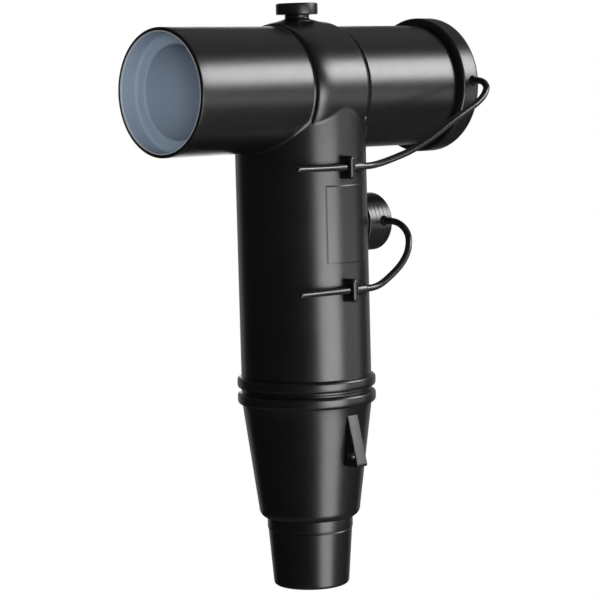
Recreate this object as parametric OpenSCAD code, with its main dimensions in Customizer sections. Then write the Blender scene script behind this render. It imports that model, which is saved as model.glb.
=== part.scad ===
// Separable T-connector for a medium-voltage cable, in millimetres.
// The origin is the centre of the mouth that slides over the bushing.
// X runs along the barrel from the mouth to the rear cap, and Z points up, away from the cable.

/* [Barrel] */
// Radius of the skirt at each end, which slides over the collar of the bushing
skirt_r = 35.5; // [34:0.1:38]
// Wall of the insulation round the skirt
skirt_wall = 0.6; // [0.4:0.1:1.5]
// From the mouth to the axis of the stem
mouth_to_stem = 112; // [108:1:125]
// From the axis of the stem to the back end of the barrel
stem_to_back = 112; // [108:1:125]
// Wall of the black conductive screen
screen_wall = 1.9; // [1.4:0.1:2.4]
// Rounding of the edge of the mouth
mouth_edge_r = 0.8; // [0.4:0.1:1.2]

/* [Bushing interface] */
// Depth of the skirt
skirt_depth = 12; // [8:1:18]
// Radius of the tapered socket at the skirt
socket_mouth_r = 28; // [26:0.5:31]
// Rounding between the skirt and the shoulder behind it
shoulder_fillet_r = 2; // [0.5:0.1:3]
// Rounding of the edge of the socket
socket_edge_r = 1.5; // [0.5:0.1:2.5]
// Radius of the tapered socket at its inner end
socket_nose_r = 23; // [21:0.5:25]
// From the axis of the stem to the inner end of each tapered socket
socket_stop = 12; // [10:0.5:16]

/* [Stem] */
// Outer radius of the stem
stem_r = 40.3; // [39:0.1:41]
// From the axis of the barrel to the lower end of the housing
stem_drop = 185; // [175:1:200]
// How far a bead stands out of the stem
bead_rise = 2.6; // [1:0.1:4]
// Height of a bead
bead_h = 8.8; // [6:0.1:12]
// Plain strip between a bead and the joint of housing and adapter
bead_strip = 0.6; // [0.4:0.1:2]

/* [Crossing] */
// How far the belt round the crossing stands out of the barrel
belt_rise = 3.5; // [3:0.1:6]
// From the axis of the stem to the front edge of the belt
belt_front = 20.8; // [18:0.1:26]
// From the axis of the stem to the rear edge of the belt
belt_rear = 22.3; // [18:0.1:26]
// Length of the front shoulder of the belt
belt_front_run = 7; // [3:0.5:10]
// Length of the rear shoulder of the belt
belt_rear_run = 5; // [3:0.5:10]
// Hollow rounding where the front of the belt meets the barrel
belt_foot_r = 2.4; // [1:0.1:2.8]
// Radius of the crown on top of the belt
crown_r = 24; // [20:0.5:28]
// How far the crown stands out of the barrel
crown_over = 4.7; // [4:0.1:8]
// Rise of the crown over its own rim
crown_rise = 5; // [2:0.5:8]
// Radius of the knob on the crown
knob_r = 12.8; // [9:0.1:15]
// Thickness of the knob
knob_t = 5.8; // [3:0.1:8]
// Radius of the neck under the knob
knob_neck_r = 7.4; // [4:0.1:8]
// Height of the neck between the crown and the knob
knob_neck_h = 3.4; // [2:0.1:6]

/* [Strap ears] */
// Height of each ear
ear_h = 14.4; // [10:0.1:20]
// How far an ear stands out of the stem
ear_reach = 8; // [6.5:0.1:12]
// Thickness of an ear
ear_t = 4; // [2:0.1:6]
// From the axis of the stem to the middle of an ear, towards the mouth
ear_shift = 3; // [0:0.5:6]
// Depth of the upper ear under the axis of the barrel
upper_ear_drop = 47.6; // [44:0.1:54]
// Depth of the lower ear under the axis of the barrel
lower_ear_drop = 121.8; // [114:0.1:130]
// From the face of the stem to the hole in an ear
ear_hole_out = 4; // [3.5:0.1:6]
// Radius of the hole in an ear
ear_hole_r = 1.9; // [1.4:0.1:2.4]

/* [Label panel] */
// Width of the plain raised panel
panel_w = 31; // [20:1:40]
// Height of the panel
panel_h = 47; // [20:1:52]
// Depth of the top of the panel under the axis of the barrel
panel_drop = 58.5; // [56:0.5:62]
// How far the panel stands out of the stem
panel_rise = 0.5; // [0.2:0.1:1]

/* [Cable adapter] */
// Radius of the cone at its upper end
cone_top_r = 40.1; // [38:0.1:41]
// Radius of the cone at its lower end
cone_foot_r = 31.5; // [30.5:0.1:36]
// Length of the adapter from the end of the housing to the foot of the cone
cone_len = 74.2; // [68:0.1:85]
// Width of the rounded shoulder under the cone
shoulder_out = 5.8; // [5.2:0.1:7]
// Height of that shoulder
shoulder_drop = 6.2; // [4:0.1:8]
// Radius of the band at the top of the tube
band_r = 26.6; // [26:0.1:28]
// Height of the band
band_h = 7; // [5:0.5:12]
// Step from the band down to the tube
band_step = 0.5; // [0.2:0.1:1]
// Radius of the tube at its end
tube_end_r = 23.6; // [22.5:0.1:25]
// Length of the tube under the band
tube_len = 35.7; // [25:0.1:50]
// Rounding of the end of the tube
tube_edge_r = 2.5; // [1:0.5:3]
// Radius of the bore that takes the jacket of the cable
entry_bore_r = 19.5; // [18:0.1:20]
// Depth of that bore from the end of the tube
entry_bore_depth = 42; // [25:1:46]
// Radius of the bore that takes the core of the cable
core_bore_r = 16.5; // [15:0.1:17]

/* [Earthing fin] */
// Thickness of the fin
fin_t = 9; // [5:0.5:12]
// Height of the fin
fin_h = 31; // [24:0.5:36]
// Depth of the top of the fin under the lower end of the housing
fin_drop = 13.8; // [12:0.1:16]
// How far the lower edge of the fin stands out from the axis of the stem
fin_reach = 47.3; // [45:0.1:50]
// Radius of the hole for the earthing wire
fin_hole_r = 2.5; // [1.5:0.1:3]

/* [Stress cone] */
// Radius of the seat of the stress cone at its upper end
seat_top_r = 25.5; // [24.5:0.1:27]
// Radius of the seat of the stress cone at the end of the housing
seat_foot_r = 28.5; // [27.5:0.1:30]
// Depth of the upper end of the stress cone under the axis of the barrel
cone_seat_drop = 98; // [94:1:110]
// Depth of the lower end of the stress cone under the housing
deflector_run = 58; // [45:1:62]

/* [Conductive insert] */
// Outer radius of the insert, round the contact chamber and round the lug
insert_r = 29.5; // [29:0.1:31]
// Radius of the bore that the lug passes through
insert_bore_r = 20.6; // [20.3:0.1:22]
// Depth of the lower end of the insert under the axis of the barrel
insert_drop = 110; // [104:1:125]
// Rounding of the ends of the insert
insert_edge_r = 1.6; // [0.5:0.1:2]

/* [Cable lug] */
// Outer radius of the barrel of the lug
lug_r = 15; // [13.5:0.1:16]
// Radius of the bore for the conductor
lug_bore_r = 10.5; // [8:0.1:11.5]
// Depth of the conductor bore
lug_bore_depth = 62; // [50:1:66]
// Depth of the lower end of the lug under the axis of the barrel
lug_drop = 95; // [88:1:97]
// Thickness of the palm
palm_t = 10; // [8:0.5:11]
// Half width of the palm, and the radius of its end
palm_r = 16; // [14:0.5:18]
// Radius of a shear screw
screw_r = 5; // [3:0.5:6]
// Depth of the upper shear screw under the axis of the barrel
screw_drop = 46; // [40:1:55]
// Distance between the two shear screws
screw_pitch = 24; // [16:1:30]

/* [Contact stud] */
// Radius of the stud
stud_r = 8; // [6:0.5:8.5]
// How far the stud reaches in front of the palm
stud_front = 28; // [15:1:40]
// How far the stud reaches behind the palm
stud_back = 38; // [30:1:44]
// Radial clearance of the stud in the palm and the washers
stud_gap = 0.5; // [0.2:0.1:0.8]
// How much thinner the stud is between its two threads, where it passes the palm
stud_relief = 0.8; // [0.3:0.1:1.5]
// Chamfer at each end of the stud
stud_chamfer = 1.5; // [0.5:0.1:2]
// Outer radius of the flat washer
washer_r = 15; // [12:0.5:17]
// Thickness of the flat washer
washer_t = 3; // [1.5:0.5:4]
// Outer radius of the spring washer
spring_washer_r = 13.5; // [11:0.5:15]
// Thickness of the spring washer
spring_washer_t = 4; // [2:0.5:5]
// Width across the flats of the nut
nut_af = 24; // [19:1:26]
// Height of the nut
nut_h = 13; // [10:1:14]

/* [Insulating plug] */
// Outer radius of the threaded core of the plug
core_r = 18; // [17:0.5:19.5]
// Length of the threaded core
core_len = 40; // [30:1:50]
// Radius of the shank of the plug's metal head
head_shank_r = 9; // [6:0.5:12]
// Length of that shank inside the plug
head_shank_len = 30; // [15:1:36]
// Width across the flats of the head
head_af = 22; // [17:1:30]
// Height of the head
head_h = 5.6; // [4:0.1:7]

/* [Rear cap] */
// How far the rear cap stands out of the barrel
cap_over = 4.7; // [4:0.1:8]
// Length of the cap
cap_len = 15.4; // [14:0.1:20]
// How far the cap reaches over the barrel
cap_overlap = 8.4; // [6:0.1:12]
// Width of the groove that shows in front of the cap
cap_groove_w = 2.2; // [1:0.1:4]
// Depth of that groove, and of the seat of the cap
cap_groove_d = 1; // [0.4:0.1:1.2]
// Wall of the cap behind the plug
cap_wall = 4; // [2:0.5:5]
// Rounding of the rear edge of the cap
cap_edge_r = 3.2; // [1:0.2:4]

/* [Test point] */
// Depth of the test point under the axis of the barrel
test_drop = 85; // [80:1:90]
// Outer radius of the test point cap
test_cap_r = 18.2; // [17.5:0.1:20]
// Length of the test point cap
test_cap_len = 20.5; // [18:0.5:26]
// Outer radius of the moulded collar under the cap
test_collar_r = 14; // [12.5:0.5:15]
// How far that collar stands out of the stem
test_collar_out = 12; // [8:0.5:14]
// Wall of the moulded collar
test_collar_wall = 2.6; // [1.5:0.1:3]
// Radius of the electrode
test_pin_r = 6; // [4:0.5:8]
// How far the electrode stands out of the collar
test_pin_out = 2; // [1:0.5:3]
// Number of ribs round the test point cap
test_rib_count = 4; // [2:1:6]
// Depth of the grooves between the ribs
test_rib_depth = 0.5; // [0.2:0.1:0.9]

/* [Straps] */
// Diameter of the straps
strap_d = 4.2; // [3:0.1:5]
// Radius of the collar that stops a strap behind its ear
stop_r = 2.9; // [2.4:0.1:3.4]
// Length of that collar
stop_len = 12.2; // [8:0.1:14]
// Radius of the tail that is pulled through the ear
tail_r = 1.6; // [1.2:0.1:1.8]
// Length of the tail in front of the ear
tail_len = 38.5; // [25:0.5:45]
// Radius of the barb on the tail
barb_r = 2.4; // [2.2:0.1:2.8]

/* [Fits] */
// Radial gap between moulded layers that are bonded to each other
bond_gap = 0.1; // [0.05:0.05:0.2]
// Gap round pieces that are pushed in or slipped over
seat_gap = 0.15; // [0.1:0.05:0.3]

/* [Hidden] */
$fn = 96;

barrel_r = skirt_r + skirt_wall + screen_wall;
belt_r = barrel_r + belt_rise;
crown_top = barrel_r + crown_over;
cap_r = barrel_r + cap_over;
stem_x = mouth_to_stem;
back_x = mouth_to_stem + stem_to_back;
layer_r = barrel_r - screen_wall;
stem_layer_r = stem_r - screen_wall;
ear_x = stem_x - ear_shift;
hole_y = -(stem_r + ear_hole_out);
palm_x = stem_x - socket_stop + bond_gap;
washer_x = palm_x + palm_t + bond_gap;
spring_x = washer_x + washer_t + bond_gap;
nut_x = spring_x + spring_washer_t + bond_gap;
plug_nose_x = stem_x + socket_stop + seat_gap;
plug_flange_x = back_x - skirt_depth;
plug_inset = 3.5;
plug_end_x = back_x - plug_inset;
cap_x = back_x - cap_overlap;
cone_foot_z = -(stem_drop + cone_len);
belt_foot_a = 55;
shoulder_a = acos((band_r - cone_foot_r + shoulder_out) / shoulder_out);
tube_top_z = cone_foot_z - shoulder_drop * sin(shoulder_a);
band_foot_z = tube_top_z - band_h;
tube_end_z = band_foot_z - tube_len;
test_x = stem_x + stem_r;
test_boss = 1;
test_pin_root = 7;
test_cap_x = test_x + test_boss + seat_gap;
edge_chamfer = 1;
overcut = 1;

// Route of the strap of the rear cap, from the cap to the ear
rear_strap_route = [
    [224, -42.9, 2], [224, -47, 2], [223.6, -51.5, 1], [222.4, -55.2, -1.6],
    [219.8, -57.2, -4.6], [215.4, -58, -8.6], [209, -58, -12.6], [201, -57.4, -16.6],
    [192, -56.6, -21], [184, -55.6, -25.4], [176, -54.4, -30.2], [166, -52.6, -35.4],
    [156, -50.8, -39.8], [146, -48.4, -43.2], [137, -46.2, -45.8], [130, -44.7, -47.2],
    [123.6, -44.3, -47.6]
];

// Route of the strap of the test point cap, from the cap to the ear
test_strap_route = [
    [165.8, -18.4, -84], [166, -22, -84], [165.6, -26.5, -84.2], [164.8, -31.5, -85.2],
    [163.4, -37, -87.4], [161.6, -41.6, -90.4], [159.6, -44.8, -94], [157.2, -46.8, -98.6],
    [154.6, -47.4, -103.2], [151, -47.4, -107.6], [146.6, -46.9, -111.6], [141.6, -46, -115.4],
    [135.6, -45, -119.2], [130, -44.4, -121.2], [123.6, -44.3, -121.8]
];

// Points of an arc, measured in degrees from the first axis
function arc(cx, cy, r, a0, a1, n) =
    [for (i = [0:n]) let (a = a0 + (a1 - a0) * i / n) [cx + r * cos(a), cy + r * sin(a)]];

// Points of an ellipse with half axes p and q
function oval(cx, cy, p, q, a0, a1, n) =
    [for (i = [0:n]) let (a = a0 + (a1 - a0) * i / n) [cx + p * cos(a), cy + q * sin(a)]];

// Radius of the tapered sockets at a distance from the skirt
function socket_r(d) =
    socket_mouth_r + (socket_nose_r - socket_mouth_r) * d / (mouth_to_stem - skirt_depth - socket_stop);

// Turns a shape that stands on Z so that it lies along X, its base at x
module along_x(x = 0) {
    translate([x, 0, 0]) rotate([0, 90, 0]) children();
}

// Revolves a profile of [radius, x] points round the axis of the barrel
module barrel_turned(pts) {
    along_x() rotate_extrude() polygon(pts);
}

// Revolves a profile of [radius, z] points round the axis of the stem
module stem_turned(pts) {
    translate([stem_x, 0, 0]) rotate_extrude() polygon(pts);
}

// Flat rectangle with two rounded outer corners, from x = 0 outwards
module ear_outline(reach, h, r) {
    translate([0, -h / 2]) square([reach - r, h]);
    translate([0, -h / 2 + r]) square([reach, h - 2 * r]);
    for (s = [-1, 1]) translate([reach - r, s * (h / 2 - r)]) circle(r);
}

// Belt round the crossing, with an oval shoulder at each end
module belt() {
    foot_rise = belt_foot_r * (1 - cos(belt_foot_a));
    foot_run = belt_foot_r * sin(belt_foot_a);
    foot = arc(-belt_front - foot_run, belt_foot_r, belt_foot_r, -90, belt_foot_a - 90, 5);
    front = oval(belt_front_run - belt_front, foot_rise, belt_front_run, belt_rise - foot_rise, 170, 90, 8);
    rear = oval(belt_rear - belt_rear_run, 0, belt_rear_run, belt_rise, 90, 0, 8);
    barrel_turned(concat(
        [[layer_r, stem_x - belt_front - foot_run]],
        [for (p = concat(foot, front, rear)) [barrel_r + p[1], stem_x + p[0]]],
        [[layer_r, stem_x + belt_rear]]
    ));
}

// Crown and its knob, turned round the axis of the stem
module crown() {
    rim_z = crown_top - crown_rise;
    neck_z = crown_top + knob_neck_h;
    root = 6;
    root_flare = 2.5;
    neck_foot = 0.8;
    edge = 0.9;
    dome = 0.3;
    stem_turned(concat(
        [[0, barrel_r - root], [crown_r + root_flare, barrel_r - 2 * root]],
        oval(0, rim_z, crown_r, crown_rise, 0, 80, 10),
        [[0, crown_top]]
    ));
    stem_turned([
        [0, barrel_r], [knob_neck_r + neck_foot, barrel_r], [knob_neck_r + neck_foot, crown_top],
        [knob_neck_r, crown_top + neck_foot], [knob_neck_r, neck_z], [knob_r - edge, neck_z],
        [knob_r, neck_z + edge], [knob_r, neck_z + knob_t - edge],
        [knob_r - edge, neck_z + knob_t], [0, neck_z + knob_t + dome]
    ]);
}

// Half round bead on the stem, centred at height z
function bead_points(z) =
    let (r = (bead_h * bead_h / 4 + bead_rise * bead_rise) / (2 * bead_rise),
         a = asin(bead_h / 2 / r))
    arc(stem_r + bead_rise - r, z, r, a, -a, 10);

// One ear for a strap, on the side face of the stem
module ear(drop) {
    root = 2;
    corner_r = 2.4;
    translate([ear_x - ear_t / 2, 0, -drop]) rotate([90, 0, 90]) mirror([1, 0])
        linear_extrude(ear_t) translate([stem_r - root, 0]) ear_outline(ear_reach + root, ear_h, corner_r);
}

// Plain raised panel on the side face of the stem
module panel() {
    intersection() {
        translate([stem_x, 0, -(panel_drop + panel_h)]) cylinder(r = stem_r + panel_rise, h = panel_h);
        translate([stem_x - panel_w / 2, -2 * stem_r, -(panel_drop + panel_h)])
            cube([panel_w, 2 * stem_r, panel_h]);
    }
}

// Black conductive jacket of the housing, moulded in one piece
module outer_screen() {
    color("#1c1d1f") difference() {
        union() {
            barrel_turned(concat(
                [[0, 0]],
                arc(barrel_r - mouth_edge_r, mouth_edge_r, mouth_edge_r, -90, 0, 4),
                arc(barrel_r - cap_groove_d, cap_x - cap_groove_w - cap_groove_d, cap_groove_d, 0, 90, 4),
                [[barrel_r - cap_groove_d, back_x], [0, back_x]]
            ));
            stem_turned(concat(
                [[0, 0], [stem_r, 0]],
                bead_points(-stem_drop + bead_strip + bead_h / 2),
                [[0, -stem_drop]]
            ));
            belt();
            crown();
            ear(upper_ear_drop);
            ear(lower_ear_drop);
            panel();
            translate([stem_x, 0, -test_drop]) along_x() {
                cylinder(r = test_collar_r, h = stem_r + test_collar_out);
                cylinder(r = test_cap_r - test_boss, h = stem_r + test_boss);
            }
        }
        along_x(-overcut) cylinder(r = layer_r, h = back_x + 2 * overcut);
        translate([stem_x, 0, -stem_drop - overcut]) cylinder(r = stem_layer_r, h = stem_drop + overcut);
        translate([stem_x, 0, -test_drop]) along_x()
            cylinder(r = test_collar_r - test_collar_wall, h = stem_r + test_collar_out + overcut);
        for (drop = [upper_ear_drop, lower_ear_drop])
            translate([ear_x, hole_y, -drop]) along_x(-ear_t) cylinder(r = ear_hole_r, h = 2 * ear_t);
    }
}

// Hollow of one end of the barrel, measured from its rim: skirt, rounded shoulder and tapered socket
function socket_profile() = concat(
    [[0, -overcut], [skirt_r, -overcut]],
    arc(skirt_r - shoulder_fillet_r, skirt_depth - shoulder_fillet_r, shoulder_fillet_r, 0, 90, 6),
    arc(socket_mouth_r + socket_edge_r, skirt_depth + socket_edge_r, socket_edge_r, -90, -180, 6),
    [[socket_nose_r, mouth_to_stem - socket_stop]]
);

// Hollow of the barrel: both tapered sockets and the contact chamber between them
module barrel_hollow() {
    barrel_turned(concat(
        socket_profile(),
        [for (i = [len(socket_profile()) - 1:-1:0]) let (p = socket_profile()[i])
            [p[0], i == len(socket_profile()) - 1 ? stem_x + socket_stop : back_x - p[1]]]
    ));
}

// Hollow of the stem: the way for the lug, and the seat of the stress cone below it
module stem_hollow() {
    stem_turned([
        [0, 0], [insert_bore_r, 0], [insert_bore_r, -cone_seat_drop], [seat_top_r, -cone_seat_drop],
        [seat_foot_r, -stem_drop], [seat_foot_r, -stem_drop - overcut], [0, -stem_drop - overcut]
    ]);
}

// Outside of the conductive insert, grown by a gap
module insert_form(gap = 0) {
    shoulder = 2;
    half = insert_bore_r + shoulder;
    barrel_turned(concat(
        [[0, stem_x - half - gap]],
        arc(insert_r - insert_edge_r, stem_x - half + insert_edge_r, insert_edge_r + gap, -90, 0, 5),
        arc(insert_r - insert_edge_r, stem_x + half - insert_edge_r, insert_edge_r + gap, 0, 90, 5),
        [[0, stem_x + half + gap]]
    ));
    stem_turned(concat(
        [[0, 0], [insert_r + gap, 0]],
        arc(insert_r - insert_edge_r, insert_edge_r - insert_drop, insert_edge_r + gap, 0, -90, 5),
        [[0, -insert_drop - gap]]
    ));
}

// Blue-grey insulation moulded inside the screen
module insulation_body() {
    behind_rim = 0.6;
    color("#7d92ad") difference() {
        union() {
            along_x() cylinder(r = layer_r - bond_gap, h = back_x);
            translate([stem_x, 0, -stem_drop]) cylinder(r = stem_layer_r - bond_gap, h = stem_drop);
            translate([stem_x, 0, -test_drop]) along_x()
                cylinder(r = test_collar_r - test_collar_wall - bond_gap,
                         h = stem_r + test_collar_out - behind_rim);
        }
        barrel_hollow();
        insert_form(bond_gap);
        stem_hollow();
        translate([test_x, 0, -test_drop]) along_x(-test_pin_root - bond_gap)
            cylinder(r = test_pin_r + bond_gap, h = test_pin_root + test_collar_out + bond_gap + overcut);
    }
}

// Conductive insert that surrounds the contact chamber and the lug
module inner_electrode() {
    color("#2b2c2e") difference() {
        insert_form();
        barrel_hollow();
        stem_hollow();
    }
}

// Wedge-shaped earthing fin on the side of the cone
module fin() {
    top_z = -(stem_drop + fin_drop);
    slope = (cone_top_r - cone_foot_r) / (cone_len - bead_strip - bead_h);
    top_y = cone_top_r - slope * (fin_drop - bead_strip - bead_h);
    foot_z = top_z - fin_h;
    root = 6;
    corner = 1.2;
    hole_in = 5.2;
    hole_up = 6.4;
    difference() {
        translate([stem_x - fin_t / 2, 0, 0]) rotate([90, 0, 90]) linear_extrude(fin_t) polygon([
            [-top_y + root, top_z], [-top_y, top_z], [-fin_reach, foot_z + corner],
            [-fin_reach + corner / 2, foot_z], [-cone_foot_r + root, foot_z]
        ]);
        translate([stem_x, -fin_reach + hole_in, foot_z + hole_up]) along_x(-fin_t)
            cylinder(r = fin_hole_r, h = 2 * fin_t);
    }
}

// Outline of the adapter from its bead to the end of the tube
function adapter_outline() = let (bead_foot = 0.4, band_edge = 0.2, step_h = 0.6) concat(
    [[stem_r, -stem_drop - seat_gap]],
    bead_points(-stem_drop - bead_strip - bead_h / 2),
    [[cone_top_r, -stem_drop - bead_strip - bead_h - bead_foot]],
    oval(cone_foot_r - shoulder_out, cone_foot_z, shoulder_out, shoulder_drop, 0, -shoulder_a, 8),
    [[band_r - band_edge, band_foot_z], [band_r - band_step, band_foot_z - step_h]],
    arc(tube_end_r - tube_edge_r, tube_end_z + tube_edge_r, tube_edge_r, 0, -90, 6)
);

// Flare of the black deflector, from the seat of the stress cone down to the core bore
function deflector_curve(gap) =
    let (lip = 0.6, strip = 0.06 * deflector_run)
    [for (i = [0:10]) let (t = i / 10, e = (1 - cos(180 * t)) / 2)
        [seat_foot_r - gap + (core_bore_r + lip - seat_foot_r) * e,
         -stem_drop - strip - (deflector_run - strip) * t + gap]];

// Black jacket of the cable adapter: bead, cone, fin, shoulder and tube in one moulding
module adapter_jacket() {
    entry_z = tube_end_z + entry_bore_depth;
    entry_cone = 3;
    color("#1c1d1f") difference() {
        union() {
            stem_turned(concat([[0, -stem_drop - seat_gap]], adapter_outline(), [[0, tube_end_z]]));
            fin();
        }
        stem_turned(concat(
            [[0, -stem_drop + overcut], [seat_foot_r, -stem_drop + overcut]],
            deflector_curve(0),
            [[core_bore_r, -stem_drop - deflector_run - edge_chamfer], [core_bore_r, entry_z + entry_cone],
             [entry_bore_r, entry_z], [entry_bore_r, tube_end_z - overcut], [0, tube_end_z - overcut]]
        ));
    }
}

// Insulating stress cone of the adapter
module stress_cone() {
    top_r = seat_top_r - seat_gap;
    top_z = -cone_seat_drop - seat_gap;
    edge = 1.2;
    color("#6d7f97") difference() {
        stem_turned(concat(
            [[0, top_z], [top_r - edge, top_z], [top_r, top_z - edge], [seat_foot_r - seat_gap, -stem_drop]],
            deflector_curve(bond_gap),
            [[0, -stem_drop - deflector_run + bond_gap]]
        ));
        translate([stem_x, 0, -stem_drop - deflector_run - overcut])
            cylinder(r = core_bore_r, h = deflector_run + stem_drop);
    }
}

// Cable lug with a flat palm and a barrel for the conductor
module cable_lug() {
    palm_foot_z = -palm_r;
    palm_run = 4;
    barrel_top_z = palm_foot_z - 11;
    barrel_start_z = palm_foot_z + palm_run;
    color("#c3c7cc") difference() {
        intersection() {
            translate([0, 2 * palm_r, 0]) rotate([90, 0, 0]) linear_extrude(4 * palm_r) polygon([
                [palm_x, palm_r + overcut], [palm_x + palm_t, palm_r + overcut],
                [palm_x + palm_t, palm_foot_z], [stem_x + lug_r, barrel_top_z],
                [stem_x + lug_r, -lug_drop], [stem_x - lug_r, -lug_drop],
                [stem_x - lug_r, barrel_top_z], [palm_x, palm_foot_z]
            ]);
            union() {
                along_x(palm_x) cylinder(r = palm_r, h = palm_t);
                translate([palm_x, -palm_r, palm_foot_z - palm_run])
                    cube([palm_t, 2 * palm_r, palm_r + palm_run]);
                translate([stem_x, 0, -lug_drop]) cylinder(r = lug_r, h = lug_drop + barrel_start_z);
            }
        }
        along_x(palm_x - overcut) cylinder(r = stud_r + stud_gap, h = palm_t + 2 * overcut);
        translate([stem_x, 0, -lug_drop - overcut]) cylinder(r = lug_bore_r, h = lug_bore_depth + overcut);
        for (i = [0, 1]) translate([stem_x, 0, -screw_drop - i * screw_pitch]) rotate([90, 0, 0])
            cylinder(r = screw_r, h = 2 * lug_r);
    }
}

// Two shear screws, broken off level with the lug
module shear_screws() {
    proud = 0.4;
    color("#9aa0a6") for (i = [0, 1])
        translate([stem_x, 0, -screw_drop - i * screw_pitch]) rotate([90, 0, 0]) difference() {
            translate([0, 0, lug_bore_r + bond_gap])
                cylinder(r = screw_r - bond_gap, h = lug_r - lug_bore_r + proud);
            translate([0, 0, lug_r - proud]) cylinder(r = screw_r / 2, h = 2 * overcut);
        }
}

// Threaded stud that clamps the lug to the bushing
module contact_stud() {
    x0 = palm_x - stud_front;
    x1 = palm_x + palm_t + stud_back;
    front_end = palm_x - edge_chamfer;
    rear_start = palm_x + palm_t;
    color("#b9bdc2") barrel_turned([
        [0, x0], [stud_r - stud_chamfer, x0], [stud_r, x0 + stud_chamfer], [stud_r, front_end],
        [stud_r - stud_relief, front_end + stud_relief], [stud_r - stud_relief, rear_start - stud_relief],
        [stud_r, rear_start], [stud_r, x1 - stud_chamfer], [stud_r - stud_chamfer, x1], [0, x1]
    ]);
}

// Flat washer behind the palm
module flat_washer() {
    color("#c9ccd0") along_x(washer_x) difference() {
        cylinder(r = washer_r, h = washer_t);
        translate([0, 0, -overcut]) cylinder(r = stud_r + stud_gap, h = washer_t + 2 * overcut);
    }
}

// Split spring washer
module spring_washer() {
    slot = 2;
    color("#a9adb2") along_x(spring_x) difference() {
        cylinder(r = spring_washer_r, h = spring_washer_t);
        translate([0, 0, -overcut]) cylinder(r = stud_r + stud_gap, h = spring_washer_t + 2 * overcut);
        rotate([0, 0, 90]) translate([0, -slot / 2, -overcut])
            cube([2 * spring_washer_r, slot, spring_washer_t + 2 * overcut]);
    }
}

// Hexagon nut that presses the palm against the bushing
module clamp_nut() {
    corner_r = nut_af / sqrt(3);
    bevel = 0.9;
    spare = 0.01;
    color("#c9ccd0") along_x(nut_x) difference() {
        intersection() {
            cylinder(r = corner_r, h = nut_h, $fn = 6);
            rotate_extrude() polygon([
                [0, 0], [nut_af / 2, 0], [corner_r + spare, bevel],
                [corner_r + spare, nut_h - bevel], [nut_af / 2, nut_h], [0, nut_h]
            ]);
        }
        translate([0, 0, -overcut]) cylinder(r = stud_r + bond_gap, h = nut_h + 2 * overcut);
    }
}

// Cast insulating plug that fills the rear socket
module insulating_plug() {
    nose = socket_r(mouth_to_stem - skirt_depth - socket_stop) - seat_gap;
    color("#8a4b38") difference() {
        barrel_turned(concat(
            [[0, plug_nose_x], [nose - edge_chamfer, plug_nose_x], [nose, plug_nose_x + edge_chamfer]],
            arc(socket_mouth_r + socket_edge_r, plug_flange_x - socket_edge_r,
                socket_edge_r + seat_gap, 180, 90, 6),
            [[skirt_r - shoulder_fillet_r, plug_flange_x + seat_gap],
             [skirt_r - seat_gap, plug_flange_x + shoulder_fillet_r],
             [skirt_r - seat_gap, plug_end_x - edge_chamfer],
             [skirt_r - seat_gap - edge_chamfer, plug_end_x], [0, plug_end_x]]
        ));
        along_x(plug_nose_x - overcut) cylinder(r = core_r + bond_gap, h = core_len + bond_gap + overcut);
        along_x(plug_end_x - head_shank_len - bond_gap)
            cylinder(r = head_shank_r + bond_gap, h = head_shank_len + bond_gap + overcut);
    }
}

// Threaded metal core of the plug, with a pocket that clears the nut
module plug_core() {
    nut_room = 0.5;
    stud_room = 2;
    pocket = nut_x + nut_h + nut_room - plug_nose_x;
    thread_end = palm_x + palm_t + stud_back + stud_room;
    color("#b08d4a") difference() {
        along_x(plug_nose_x) cylinder(r = core_r, h = core_len);
        along_x(plug_nose_x - overcut) cylinder(r = nut_af / sqrt(3) + nut_room, h = pocket + overcut);
        along_x(plug_nose_x) cylinder(r = stud_r + bond_gap, h = thread_end - plug_nose_x);
    }
}

// Hexagon head cast into the back of the plug
module plug_head() {
    color("#b08d4a") {
        along_x(plug_end_x - head_shank_len) cylinder(r = head_shank_r, h = head_shank_len + overcut);
        along_x(plug_end_x + bond_gap) cylinder(r = head_af / sqrt(3), h = head_h, $fn = 6);
    }
}

// Rear cap, slipped over the back end of the barrel
module rear_cap() {
    x1 = cap_x + cap_len;
    front_edge = 0.6;
    dome = 0.4;
    seat_wall = 2;
    color("#1c1d1f") difference() {
        barrel_turned(concat(
            [[0, cap_x], [cap_r - front_edge, cap_x], [cap_r, cap_x + front_edge]],
            arc(cap_r - cap_edge_r, x1 - cap_edge_r, cap_edge_r, 0, 90, 8),
            [[0, x1 + dome]]
        ));
        along_x(cap_x - overcut)
            cylinder(r = barrel_r - cap_groove_d + seat_gap, h = cap_overlap + seat_gap + overcut);
        along_x(cap_x) cylinder(r = skirt_r - seat_wall, h = cap_len - cap_wall);
    }
}

// Electrode of the capacitive test point
module test_point_electrode() {
    pin_len = test_pin_root + test_collar_out + test_pin_out;
    color("#b9bdc2") translate([test_x, 0, -test_drop]) along_x(-test_pin_root)
        rotate_extrude() polygon([
            [0, 0], [test_pin_r, 0], [test_pin_r, pin_len - edge_chamfer],
            [test_pin_r - edge_chamfer, pin_len], [0, pin_len]
        ]);
}

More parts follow.
